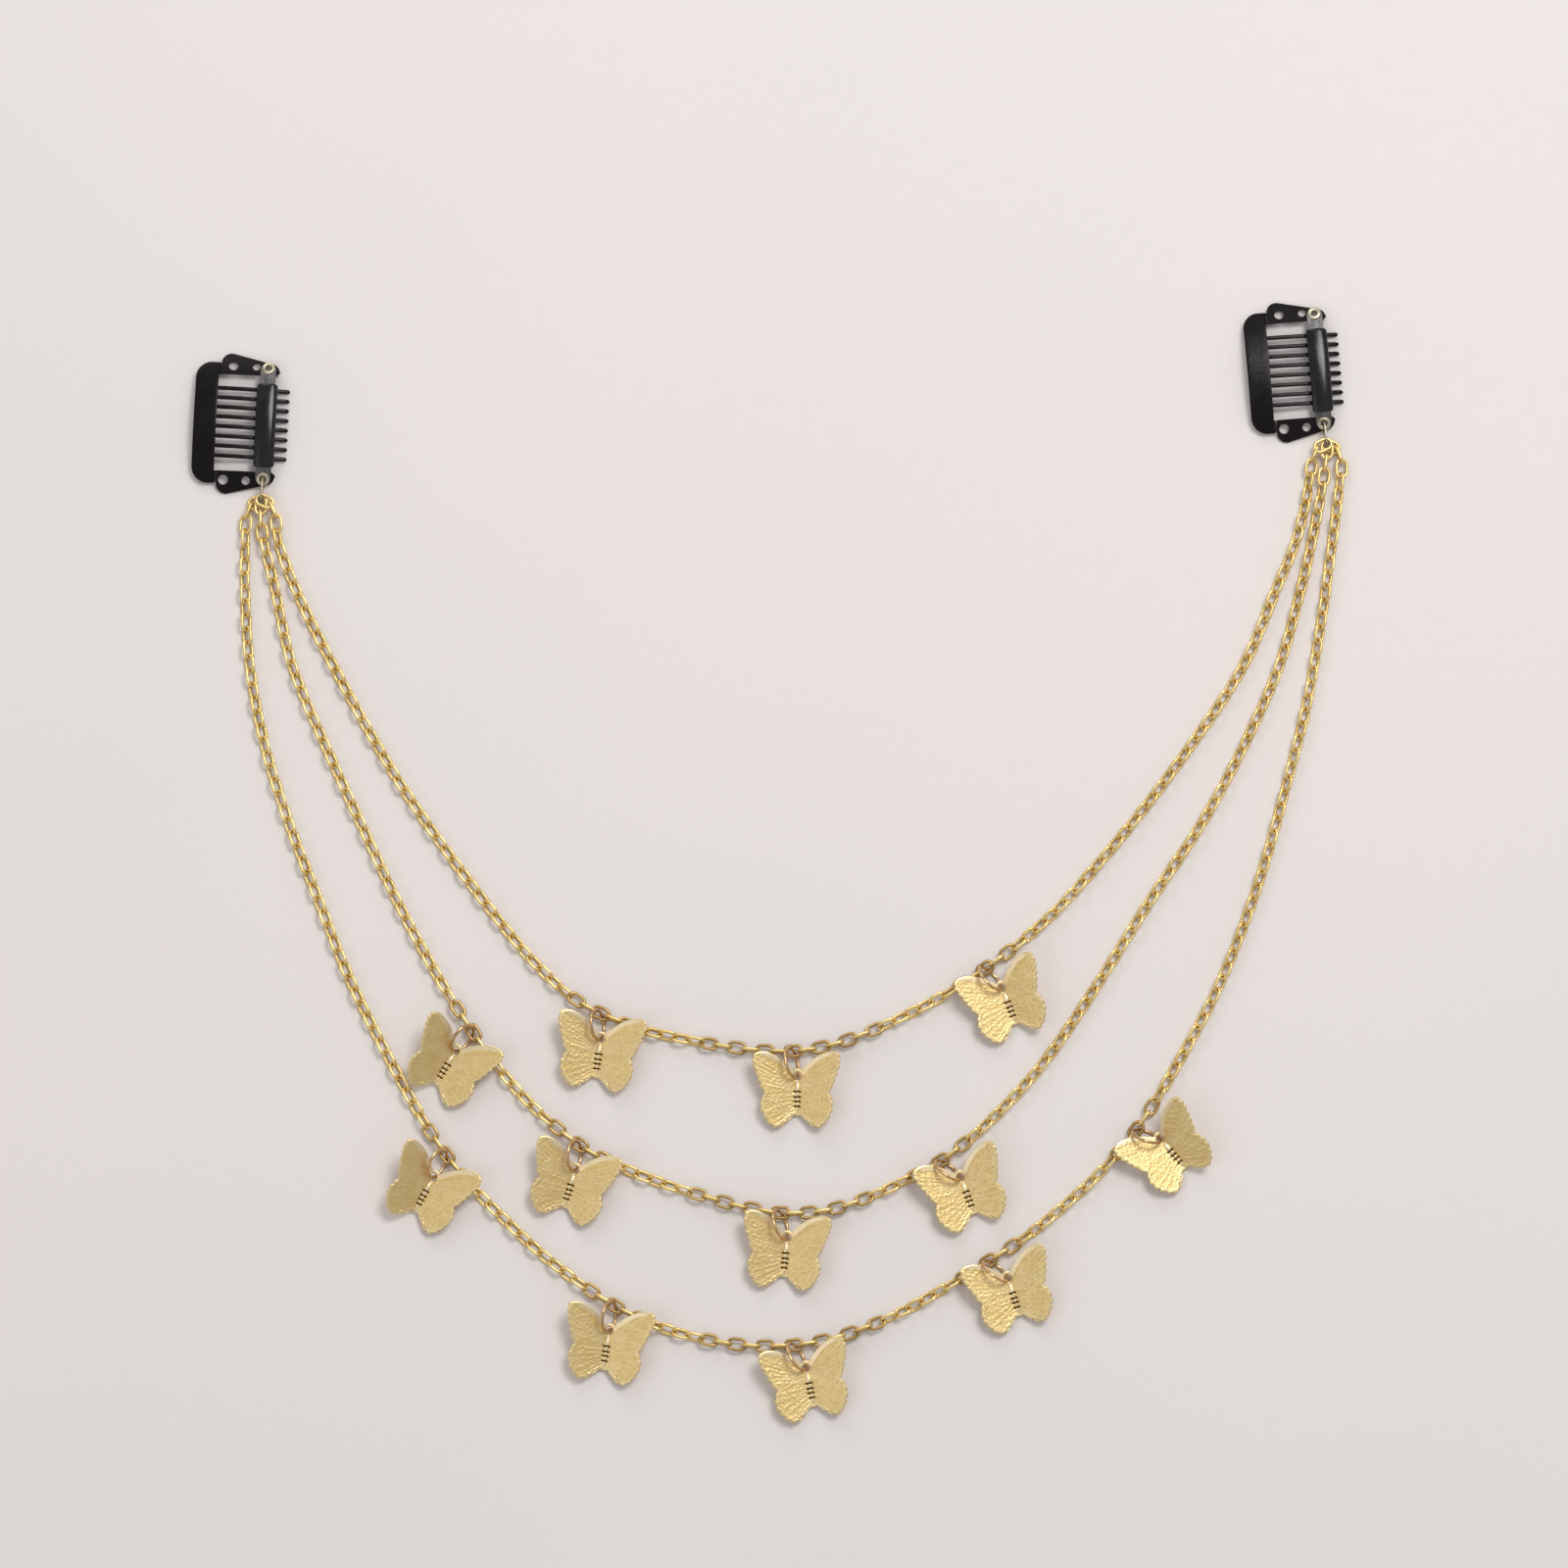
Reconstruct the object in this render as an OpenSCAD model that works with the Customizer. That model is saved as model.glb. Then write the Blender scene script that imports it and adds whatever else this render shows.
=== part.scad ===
// Layered hair chain laid flat: two snap comb clips joined by three oval-link chains with butterfly charms.
// X runs across the jewel, Y from the lowest butterflies up to the clips, Z up from the table at 0.

/* [Clips] */
// Length of a clip between its widest corners
clip_length = 32; // [31:0.5:33]
// Distance between the two eyelets of a clip
eyelet_spacing = 24.8; // [24.4:0.1:25.2]
// Thickness of the stamped plate
plate_thickness = 0.5; // [0.4:0.05:0.6]
// Radius of the bow in the plate
bow_radius = 48; // [46:1:52]
// Number of teeth in a comb
tooth_count = 8; // [6:1:8]
// Distance from one tooth to the next
tooth_pitch = 2.2; // [2:0.05:2.4]
// Width of a tooth
tooth_width = 0.95; // [0.8:0.05:1.1]
// Diameter of a sewing hole
sewing_hole = 2.2; // [1.8:0.1:2.3]
// Length of the rubber sleeve
sleeve_length = 18.6; // [17:0.2:19.4]
// Width of the rubber sleeve
sleeve_width = 4.7; // [4.6:0.1:5]

/* [Chains] */
// Outer length of a link
link_length = 4.52; // [4.5:0.01:4.6]
// Outer width of a link
link_width = 3.1; // [3:0.05:3.2]
// Wire diameter of a link
link_wire = 0.57; // [0.5:0.01:0.6]
// Distance from one link to the next, before it is fitted to the chain's length
link_pitch = 3.15; // [3.12:0.01:3.17]

/* [Rings] */
// Outer diameter of a butterfly's jump ring
ring_diameter = 7.4; // [7.3:0.05:7.5]
// Wire diameter of a jump ring
ring_wire = 0.7; // [0.6:0.05:0.75]
// Length of the oval ring at the end of a clip
end_ring_length = 5.83; // [5.8:0.01:5.86]
// Wire diameter of the end ring
end_ring_wire = 0.5; // [0.45:0.05:0.5]

/* [Butterflies] */
// Thickness of a butterfly's sheet
sheet = 0.45; // [0.4:0.05:0.5]
// Diameter of the hole in a butterfly's head
head_hole = 1.7; // [1.65:0.05:1.8]
// Angle by which a butterfly's head is raised from the table
body_pitch = 8.5; // [8:0.5:9]

/* [Hidden] */

// Colours as the jewel shows them
BLACK = [0.10, 0.09, 0.10];
RUBBER = [0.05, 0.05, 0.05];
STEEL = [0.60, 0.60, 0.62];
PALE_BRASS = [0.78, 0.76, 0.66];
GOLD = [0.86, 0.68, 0.36];
PALE_GOLD = [0.84, 0.74, 0.52];

// Clearance between two pieces of metal
gap = 0.1;
// Facets of round shapes that carry over as true curves
fine = 48;

// Places of the clips: centre of the eyelet line and turn about Z
LEFT_CLIP = [[-112.8, 98.7], -2.5];
RIGHT_CLIP = [[123.9, 111.35], 4.5];

// Plan of a clip. U runs from the back plate to the tips of the teeth, with 0 on the eyelet line,
// and V along the bar.
back_u = -16.2;
hinge_u = -10.85;
slit = 0.5;
tip_u = 5;
corner_v = clip_length / 2;
eyelet_v = eyelet_spacing / 2;
arm_inner_v = 11;
arm_corner = 2.2;
back_v = 13.8;
back_corner = 3.6;
front_u = 2.7;
front_v = 13.6;
tip_z = 0.4;
bar_width = 3.5;
bar_overhang = 1.6;
sleeve_height = 2.1;
sleeve_shift = -0.6;
eyelet_bore = 1.3;
eyelet_tube = 2;
eyelet_flange = 3;
flange_thickness = 0.22;
low_flange = 2.4;
low_flange_thickness = 0.15;

// Heights in a clip. The plate is a shell about an axis along U, and its widest corners meet the table.
bow_z = -sqrt(pow(bow_radius - plate_thickness / 2, 2) - pow(corner_v, 2));
function plate_z(v) = bow_z + sqrt(pow(bow_radius, 2) - v * v);
bar_z = bow_radius + plate_thickness / 2 + gap;

// Routes of the chains' centre lines from the left end ring to the right one, as points on the table
LEFT_END = [-113.8, 81.2];
RIGHT_END = [125.5, 93.9];
INNER_ROUTE = [
    LEFT_END, [-112.1, 80.7], [-111, 79.1], [-110.3, 76.1], [-109.8, 72], [-107, 64], [-102, 53],
    [-92.5, 35], [-82, 17], [-69.5, -1], [-56, -18.5], [-48, -27], [-42.5, -31.5], [-36, -35],
    [-27.5, -38.2], [-18.5, -40.2], [-9.5, -41.8], [-1, -42.8], [7, -42.8], [14.5, -41.4],
    [22, -38.8], [30, -35.2], [39, -30.5], [47.5, -25], [56.5, -18.3], [66.5, -9], [81.5, 8.5],
    [95, 26.5], [106.5, 44], [114, 61.5], [118, 71], [120.5, 80], [121.5, 86], [122, 88.9],
    [122.7, 91.8], [123.8, 93.4], RIGHT_END
];
MIDDLE_ROUTE = [
    LEFT_END, [-113.8, 79], [-113.6, 75], [-112.6, 70], [-110.5, 61.5], [-106.5, 44], [-99, 26],
    [-91, 8.5], [-82.5, -9.5], [-73, -27], [-62.5, -43], [-53, -54.5], [-41.5, -64], [-32, -69],
    [-23, -72.5], [-14, -75.3], [-5.5, -77.6], [3.5, -79], [12.5, -78.5], [21, -76], [30, -72],
    [39, -67], [48, -59.7], [57.5, -50], [65, -40.5], [74, -27], [85, -9.5], [97, 8.5],
    [106.5, 26], [114.5, 44], [119.5, 61.5], [122.2, 73], [124, 82], [125, 88], [125.5, 92],
    RIGHT_END
];
OUTER_ROUTE = [
    LEFT_END, [-115.5, 80.7], [-116.5, 79.1], [-117.1, 76.1], [-117.2, 72], [-117.2, 61.5], [-116, 44],
    [-112.5, 26], [-107, 8.5], [-100, -9.5], [-93, -27], [-84.5, -44], [-75.5, -60], [-67, -71.5],
    [-58, -80.8], [-49.5, -88.6], [-40.5, -95.4], [-32, -100.6], [-23, -104.6], [-14, -107],
    [-5.5, -108.3], [3.5, -108.5], [12.5, -107.3], [21, -104.7], [30, -100.8], [39, -95.8],
    [47.5, -90.6], [56.5, -84.8], [65, -78], [74, -69.7], [82.5, -59.5], [91.5, -45], [101, -27],
    [109.5, -5], [116, 17.5], [120.5, 35], [123.8, 53], [126.3, 70], [127.7, 80], [128.4, 86],
    [128.8, 88.9], [128.2, 91.8], [127.2, 93.4], RIGHT_END
];

// Butterflies: chain, number of the link that carries it from the left, swing of the ring and heading of
// the head, both clockwise from +Y, lift of the left wing and of the right wing
CHAIN = 0;
LINK = 1;
SWING = 2;
HEADING = 3;
LIFT_LEFT = 4;
LIFT_RIGHT = 5;
BUTTERFLIES = [
    [0, 45, 195, 8, 16, 16],
    [0, 59, 186, 0, 14, 22],
    [0, 74, 155, -22, 14, 30],
    [1, 41, 238, 32, 32, 12],
    [1, 52, 205, 17, 18, 16],
    [1, 67, 181, 5, 16, 20],
    [1, 79, 145, -21, 16, 22],
    [2, 50, 226, 29, 32, 12],
    [2, 66, 209, 9, 18, 16],
    [2, 79, 168, -12, 14, 20],
    [2, 94, 147, -18, 14, 20],
    [2, 108, 126, -41, 12, 32]
];

// Smooth curve through the points of a route, with equal steps between two points
STEPS = 8;
function curve_point(p, i, t) =
    let (a = p[max(i - 1, 0)], b = p[i], c = p[i + 1], d = p[min(i + 2, len(p) - 1)])
    (2 * b + (c - a) * t + (2 * a - 5 * b + 4 * c - d) * t * t + (3 * b - a - 3 * c + d) * t * t * t) / 2;
function curve(p) = [
    for (i = [0:len(p) - 2], k = [0:STEPS - 1]) curve_point(p, i, k / STEPS),
    p[len(p) - 1]
];
function running_length(q) = [
    for (i = 0, s = 0; i < len(q); i = i + 1, s = i < len(q) ? s + norm(q[i] - q[i - 1]) : s) s
];

// Where the end links of each chain lie from the ring, and how much closer the next one follows
FIRST_LINK = [0.95, 1, 0.95];
TUCK = [0.45, 0.1, 0.35];

// A chain: the curve as tables of X and Y by length, the whole length and the number of links.
// The number is odd, so both end links lie flat.
function chain(route, c) =
    let (q = curve(route), s = running_length(q), total = s[len(s) - 1])
    [
        [for (i = [0:len(q) - 1]) [s[i], q[i].x]],
        [for (i = [0:len(q) - 1]) [s[i], q[i].y]],
        total,
        2 * round((total - 2 * FIRST_LINK[c]) / link_pitch / 2) + 1
    ];
CHAINS = [chain(INNER_ROUTE, 0), chain(MIDDLE_ROUTE, 1), chain(OUTER_ROUTE, 2)];
function link_count(c) = CHAINS[c][3];
function at(c, s) = [lookup(s, CHAINS[c][0]), lookup(s, CHAINS[c][1])];
function link_s(c, i) =
    let (n = link_count(c), total = CHAINS[c][2], first = FIRST_LINK[c] - TUCK[c])
    i == 0 ? FIRST_LINK[c] :
    i == n - 1 ? total - FIRST_LINK[c] :
    first + i * (total - 2 * first) / (n - 1);
function link_turn(c, i) =
    let (s = link_s(c, i), d = at(c, s + link_pitch / 2) - at(c, s - link_pitch / 2))
    atan2(d.y, d.x);

// Links that lie flat, and how near a link is to one: 1 on it and the next, 0 from four links on
function flat_links(c, parity) = concat(
    parity == 0 ? [0, link_count(c) - 1] : [],
    [for (b = BUTTERFLIES) if (b[CHAIN] == c && b[LINK] % 2 == parity) b[LINK]]
);
function nearness(c, i, parity) =
    max([0, for (k = flat_links(c, parity)) min(1, (4 - abs(i - k)) / 3)]);
function roll(c, i) = 90 * i + 45 - 45 * nearness(c, i, 0) + 45 * nearness(c, i, 1);

// Half the distance between the centre lines of a link's side wires, and the heights of the links
link_half = (link_width - link_wire) / 2;
flat_z = link_half + link_wire / 2;
// The three end links at a ring lie one over the other
STACK_STEP = 0.675;
end_ring_height = 3.35;
function end_z(c) = end_ring_height / 2 + (1 - c) * STACK_STEP;
// The inner chain comes down from the top of the stack over its next two links
function from_end(c, i) = min(i, link_count(c) - 1 - i);
function stack_lift(c, i) = c == 0 && from_end(c, i) < 3 ? 0.3 - 0.1 * from_end(c, i) : 0;
function link_z(c, i) =
    from_end(c, i) == 0 ? end_z(c) :
    link_wire / 2 + link_half * max(abs(sin(roll(c, i))), abs(cos(roll(c, i)))) + stack_lift(c, i);

// The plain stretches of the two longer chains are tubes, each short enough to be nearly straight
tube_radius = 1.15;
TUBE_SIDES = 8;
TUBE_STEP = 7;
tube_length = 30;

// A jump ring passes the carrying link at the ring's low end, leans over and holds the head further up
ring_radius = (ring_diameter - ring_wire) / 2;
ring_lean = 60;
ring_rise = 34;
head_turn = 63;

// Outline of a butterfly's right half from the head round to the tail, as points on a smooth curve.
// X is across the body and Y towards the head, with 0 at the hole.
HALF_WING = [
    [0, 1.1], [0.9, 1.05], [2.2, 2.4], [4.4, 4.2], [6.6, 5.3], [8.6, 5.6], [10.1, 4.9], [10.3, 3.2],
    [9.8, 1.2], [9, -1], [8.3, -2.6], [7.6, -3.6], [8.3, -4.8], [8.6, -6.3], [8.3, -8], [7.3, -9.8],
    [6, -11.1], [4.7, -11.5], [3.3, -10.9], [2, -9.6], [1, -8.8], [0, -8.9]
];
// The wings pass each other a little under the body
wing_overlap = 0.25;
head_disc = 3.2;
head_height = 0.6;
body_length = 7.4;
body_width = 1.5;
body_start = -1.2;

// Clip

module shell(radius, thickness) {
    // A stretch of tube about an axis along U
    translate([back_u - 1, 0, bow_z])
        rotate([90, 0, 90])
            difference() {
                cylinder(r = radius + thickness / 2, h = 30, $fn = 180);
                translate([0, 0, -1]) cylinder(r = radius - thickness / 2, h = 32, $fn = 180);
            }
}

module on_plate(u, v, height = 0) {
    // Stands its children on the plate's middle surface at U, V, square to it
    translate([u, 0, bow_z])
        rotate([-asin(v / bow_radius), 0, 0])
            translate([0, 0, bow_radius + height])
                children();
}

module slab(outline) {
    translate([0, 0, -1]) linear_extrude(height = 9) polygon(outline);
}

function arc_points(centre, radius, from, to, n) = [
    for (k = [0:n]) centre + radius * [cos(from + (to - from) * k / n), sin(from + (to - from) * k / n)]
];

// One arm's outline at the +V end
ARM = concat(
    [[hinge_u + slit / 2, arm_inner_v]],
    arc_points([hinge_u + slit / 2 + arm_corner, corner_v - arm_corner], arm_corner, 180, 85, 6),
    arc_points([0.5, front_v - 1.8], 2, 82, 10, 6),
    [[front_u, arm_inner_v + 0.8], [front_u - 0.8, arm_inner_v]]
);
HOLES_TOP = [-7.9, -2.7];
HOLES_BOTTOM = [-9, -3.9];

module arm(side, holes) {
    difference() {
        intersection() {
            shell(bow_radius, plate_thickness);
            slab([for (p = ARM) [p.x, side * p.y]]);
        }
        for (u = holes)
            on_plate(u, side * (eyelet_v + 0.6), -1)
                cylinder(d = u < -7 ? sewing_hole : sewing_hole - 0.3, h = 2, $fn = fine);
        on_plate(0, side * eyelet_v, -1) cylinder(d = eyelet_tube + gap, h = 2, $fn = fine);
    }
}

module clip_frame() {
    arm(1, HOLES_TOP);
    arm(-1, HOLES_BOTTOM);
}

BACK = concat(
    arc_points([back_u + back_corner, back_v - back_corner], back_corner, 90, 180, 6),
    arc_points([back_u + back_corner, back_corner - back_v], back_corner, 180, 270, 6),
    [[hinge_u - slit / 2, -back_v], [hinge_u - slit / 2, back_v]]
);

TOOTH_POINTS = 12;
module tooth(v) {
    root_u = hinge_u - slit / 2 - 0.5;
    drop = (plate_z(v) - tip_z) / pow(tip_u - root_u, 2);
    line = [
        for (k = [0:TOOTH_POINTS])
            let (u = root_u + (tip_u - root_u) * k / TOOTH_POINTS)
            [u, plate_z(v) - drop * pow(u - root_u, 2)]
    ];
    half = plate_thickness / 2;
    upper = [for (p = line) p + [0, half]];
    lower = [for (k = [TOOTH_POINTS:-1:0]) line[k] - [0, half]];
    intersection() {
        translate([0, v + tooth_width / 2, 0])
            rotate([90, 0, 0])
                linear_extrude(height = tooth_width) polygon(concat(upper, lower));
        slab([
            [root_u, v - tooth_width / 2], [tip_u - 0.7, v - tooth_width / 2], [tip_u - 0.2, v - 0.3],
            [tip_u, v], [tip_u - 0.2, v + 0.3], [tip_u - 0.7, v + tooth_width / 2],
            [root_u, v + tooth_width / 2]
        ]);
    }
}

module clip_comb() {
    intersection() {
        shell(bow_radius, plate_thickness);
        slab(BACK);
    }
    for (k = [0:tooth_count - 1])
        tooth((k - (tooth_count - 1) / 2) * tooth_pitch);
}

module clip_bar() {
    end = eyelet_v + bar_overhang - bar_width / 2;
    difference() {
        intersection() {
            shell(bar_z + plate_thickness / 2, plate_thickness);
            slab(concat(
                arc_points([0, end], bar_width / 2, 0, 180, 8),
                arc_points([0, -end], bar_width / 2, 180, 360, 8)
            ));
        }
        for (side = [-1, 1])
            on_plate(0, side * eyelet_v, -1) cylinder(d = eyelet_tube + gap, h = 4, $fn = fine);
    }
}

module clip_sleeve() {
    turn = sleeve_length / bow_radius * 180 / PI;
    shift = sleeve_shift / bow_radius * 180 / PI;
    middle = bar_z + plate_thickness / 2;
    translate([0, 0, bow_z])
        rotate([0, 90, 0])
            rotate([0, 0, 180 - turn / 2 - shift])
                rotate_extrude(angle = turn, $fn = 180)
                    difference() {
                        polygon([
                            for (k = [0:23])
                                [middle + sleeve_height / 2 * cos(15 * k), sleeve_width / 2 * sin(15 * k)]
                        ]);
                        translate([middle - plate_thickness / 2 - gap, -bar_width / 2 - gap])
                            square([plate_thickness + 2 * gap, bar_width + 2 * gap]);
                    }
}

module clip_eyelet(side) {
    low = -plate_thickness / 2 - gap / 2;
    high = 3 * plate_thickness / 2 + 3 * gap / 2;
    on_plate(0, side * eyelet_v)
        rotate_extrude($fn = fine)
            polygon([
                [eyelet_bore / 2 + 0.15, low - low_flange_thickness],
                [low_flange / 2 - 0.1, low - low_flange_thickness],
                [low_flange / 2, low - low_flange_thickness / 2], [low_flange / 2, low],
                [eyelet_tube / 2, low],
                [eyelet_tube / 2, high], [eyelet_flange / 2, high],
                [eyelet_flange / 2 - 0.2, high + flange_thickness * 0.8],
                [eyelet_flange / 2 - 0.5, high + flange_thickness],
                [eyelet_bore / 2 + 0.15, high + flange_thickness * 0.8],
                [eyelet_bore / 2, high], [eyelet_bore / 2, low]
            ]);
}

module place_clip(clip) {
    translate([clip[0].x, clip[0].y, 0]) rotate([0, 0, clip[1]]) children();
}

// Rings and links

module oval(length, width, wire) {
    // Oval of round wire in the XY plane, long along X
    reach = (length - width) / 2;
    half = (width - wire) / 2;
    for (side = [-1, 1]) {
        translate([side * reach, 0, 0])
            rotate([0, 0, -90 * side])
                rotate_extrude(angle = 180, $fn = fine) translate([half, 0]) circle(d = wire, $fn = fine);
        translate([-reach, side * half, 0])
            rotate([0, 90, 0]) cylinder(d = wire, h = 2 * reach, $fn = fine);
    }
}

module end_ring(clip, end) {
    // Stands upright through the lower eyelet and reaches to the chains
    foot = clip[0] + eyelet_v * [sin(clip[1]), -cos(clip[1])];
    away = end - foot;
    centre = end - away / norm(away) * (end_ring_length - end_ring_wire) / 2;
    translate([centre.x, centre.y, end_ring_height / 2])
        rotate([0, 0, atan2(away.y, away.x)])
            rotate([90, 0, 0]) oval(end_ring_length, end_ring_height, end_ring_wire);
}

module chain_link(c, i) {
    p = at(c, link_s(c, i));
    translate([p.x, p.y, link_z(c, i)])
        rotate([0, 0, link_turn(c, i)])
            rotate([roll(c, i), 0, 0])
                oval(link_length, link_width, link_wire);
}

module tube(c, from, to) {
    rings = max(1, ceil((to - from) / TUBE_STEP));
    points = [
        for (k = [0:rings])
            let (s = from + (to - from) * k / rings, p = at(c, s), d = at(c, s + 0.5) - at(c, s - 0.5))
            let (side = [d.y, -d.x] / norm(d))
            for (a = [0:TUBE_SIDES - 1])
                let (angle = 360 * (a + 0.5) / TUBE_SIDES)
                [
                    p.x + side.x * tube_radius * cos(angle), p.y + side.y * tube_radius * cos(angle),
                    tube_radius + tube_radius * sin(angle)
                ]
    ];
    ends = [[for (a = [TUBE_SIDES - 1:-1:0]) a], [for (a = [0:TUBE_SIDES - 1]) rings * TUBE_SIDES + a]];
    walls = [
        for (k = [0:rings - 1], a = [0:TUBE_SIDES - 1])
            let (b = (a + 1) % TUBE_SIDES, low = k * TUBE_SIDES, high = low + TUBE_SIDES)
            [low + a, low + b, high + b, high + a]
    ];
    polyhedron(points, concat(ends, walls));
}

module linked_chain(c) {
    for (i = [0:link_count(c) - 1]) chain_link(c, i);
}

module tube_chain(c) {
    // Real links at the rings, tubes between them
    last = link_count(c) - 1;
    kept = concat([0], [for (b = BUTTERFLIES) if (b[CHAIN] == c) b[LINK]], [last]);
    space = link_length / 2 + 2.5 * gap;
    for (i = kept) chain_link(c, i);
    for (k = [0:len(kept) - 2]) {
        from = link_s(c, kept[k]) + space;
        to = link_s(c, kept[k + 1]) - space;
        tubes = ceil((to - from) / tube_length);
        for (j = [0:tubes - 1])
            tube(c, from + (to - from) * j / tubes + gap, from + (to - from) * (j + 1) / tubes - gap);
    }
}

// Butterflies

// Places a butterfly's ring: the carrying link's centre, with Y along the ring's swing
module at_carrier(b) {
    p = at(b[CHAIN], link_s(b[CHAIN], b[LINK]));
    translate([p.x, p.y, flat_z]) rotate([0, 0, -b[SWING]]) children();
}

module jump_ring(b) {
    at_carrier(b)
        translate(ring_radius * [0, cos(ring_rise), sin(ring_rise)])
            rotate([ring_rise, 0, 0])
                rotate([0, -ring_lean, 0])
                    rotate_extrude($fn = 96) translate([ring_radius, 0]) circle(d = ring_wire, $fn = fine);
}

module butterfly(b) {
    // The head's hole sits on the ring, further round from the link
    along = [0, cos(ring_rise), sin(ring_rise)];
    across = [cos(ring_lean), -sin(ring_lean) * sin(ring_rise), sin(ring_lean) * cos(ring_rise)];
    hole = ring_radius * (along * (1 + cos(head_turn)) - across * sin(head_turn));
    at_carrier(b)
        translate(hole)
            rotate([0, 0, b[SWING] - b[HEADING]])
                rotate([body_pitch, 0, 0])
                    difference() {
                        union() {
                            wing(1, b[LIFT_RIGHT]);
                            wing(-1, b[LIFT_LEFT]);
                            butterfly_body();
                            cylinder(d = head_disc, h = head_height, center = true, $fn = fine);
                        }
                        cylinder(d = head_hole, h = 4, center = true, $fn = fine);
                    }
}

WING_STEPS = 3;
module wing(side, lift) {
    half = [
        for (i = [0:len(HALF_WING) - 2], k = [0:WING_STEPS - 1])
            curve_point(HALF_WING, i, k / WING_STEPS)
    ];
    rotate([0, -side * lift, 0])
        linear_extrude(height = sheet, center = true)
            polygon([
                for (p = concat(half, [[0, -8.9], [-wing_overlap, -8.7], [-wing_overlap, 1]]))
                    [side * p.x, p.y]
            ]);
}

module butterfly_body() {
    // A spindle along Y, thickest behind the head
    translate([0, body_start, 0])
        rotate([90, 0, 0])
            rotate_extrude($fn = fine)
                polygon([
                    [0, 0], [body_width * 0.3, 0.3], [body_width * 0.5, 1.6], [body_width * 0.42, 3.4],
                    [body_width * 0.3, body_length - 1], [0, body_length]
                ]);
}

// Nodes

module left_frame() { color(BLACK) place_clip(LEFT_CLIP) clip_frame(); }
module left_comb() { color(BLACK) place_clip(LEFT_CLIP) clip_comb(); }
module left_bar() { color(STEEL) place_clip(LEFT_CLIP) clip_bar(); }
module left_sleeve() { color(RUBBER) place_clip(LEFT_CLIP) clip_sleeve(); }
module left_eyelet_top() { color(PALE_BRASS) place_clip(LEFT_CLIP) clip_eyelet(1); }
module left_eyelet_bottom() { color(PALE_BRASS) place_clip(LEFT_CLIP) clip_eyelet(-1); }
module left_end_ring() { color(GOLD) end_ring(LEFT_CLIP, LEFT_END); }
module right_frame() { color(BLACK) place_clip(RIGHT_CLIP) clip_frame(); }
module right_comb() { color(BLACK) place_clip(RIGHT_CLIP) clip_comb(); }
module right_bar() { color(STEEL) place_clip(RIGHT_CLIP) clip_bar(); }
module right_sleeve() { color(RUBBER) place_clip(RIGHT_CLIP) clip_sleeve(); }
module right_eyelet_top() { color(PALE_BRASS) place_clip(RIGHT_CLIP) clip_eyelet(1); }
module right_eyelet_bottom() { color(PALE_BRASS) place_clip(RIGHT_CLIP) clip_eyelet(-1); }
module right_end_ring() { color(GOLD) end_ring(RIGHT_CLIP, RIGHT_END); }
module chain_inner() { color(GOLD) linked_chain(0); }
module chain_middle() { color(GOLD) tube_chain(1); }
module chain_outer() { color(GOLD) tube_chain(2); }

left_frame();
left_comb();
left_bar();
left_sleeve();
left_eyelet_top();
left_eyelet_bottom();
left_end_ring();
right_frame();
right_comb();
right_bar();
right_sleeve();
right_eyelet_top();
right_eyelet_bottom();
right_end_ring();
chain_inner();
chain_middle();
chain_outer();
for (i = [0:len(BUTTERFLIES) - 1]) {
    number = str(i < 9 ? "0" : "", i + 1);
    color(PALE_GOLD) butterfly(BUTTERFLIES[i]);
    color(GOLD) jump_ring(BUTTERFLIES[i]);
}
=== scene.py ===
"""Looks of a layered butterfly hair chain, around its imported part. Laid out as an add-on.

Lengths in the tables and the shape functions are in millimetres; a mesh gets them in metres.
"""

import bpy
import numpy as np
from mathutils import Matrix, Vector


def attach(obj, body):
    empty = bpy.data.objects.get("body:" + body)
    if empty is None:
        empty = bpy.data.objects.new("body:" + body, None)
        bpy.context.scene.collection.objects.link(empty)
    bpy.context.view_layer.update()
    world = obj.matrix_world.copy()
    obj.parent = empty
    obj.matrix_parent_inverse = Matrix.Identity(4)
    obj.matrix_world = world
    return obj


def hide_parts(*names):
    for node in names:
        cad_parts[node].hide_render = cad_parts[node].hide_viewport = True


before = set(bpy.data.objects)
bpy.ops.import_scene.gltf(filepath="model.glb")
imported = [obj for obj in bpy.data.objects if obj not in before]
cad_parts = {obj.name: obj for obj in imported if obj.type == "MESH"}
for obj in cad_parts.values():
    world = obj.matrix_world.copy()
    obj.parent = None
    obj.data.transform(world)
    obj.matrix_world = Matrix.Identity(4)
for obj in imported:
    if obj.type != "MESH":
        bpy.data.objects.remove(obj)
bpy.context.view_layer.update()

bl_info = {
    "name": "Butterfly hair chain",
    "version": (1, 0, 0),
    "blender": (4, 5, 0),
    "location": "View3D > Sidebar > Hair chain",
    "description": "Builds a layered butterfly hair chain with two comb clips",
    "category": "Add Mesh",
}

MM = 0.001
ROOT_BODY = "chain_set"
X_WAY, Y_WAY, Z_WAY = np.eye(3)
NO_TRIANGLES = np.zeros((0, 3), int)

# Places of the clips: centre of the eyelet line and turn about Z in degrees
CLIPS = {"left": ((-112.8, 98.7), -2.5), "right": ((123.9, 111.35), 4.5)}
# Plan of a clip: U runs from the back plate to the tips of the teeth, with 0 on the eyelet line, and V
# along the bar. The plate is bowed about an axis along U.
PLATE = 0.5
BOW_RADIUS = 48.0
CORNER_V = 16.0
BOW_Z = -np.sqrt((BOW_RADIUS - PLATE / 2) ** 2 - CORNER_V**2)
EYELET_V = 12.4
BACK_U = -16.2
BACK_V = 13.8
BACK_CORNER = 3.6
# How far from its ends the back plate thins out, and the radius of that
BACK_END = 0.2
BACK_ROUND = 0.21
HINGE_U = -10.85
HINGE_Z = 1.39
SLIT = 0.5
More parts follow.
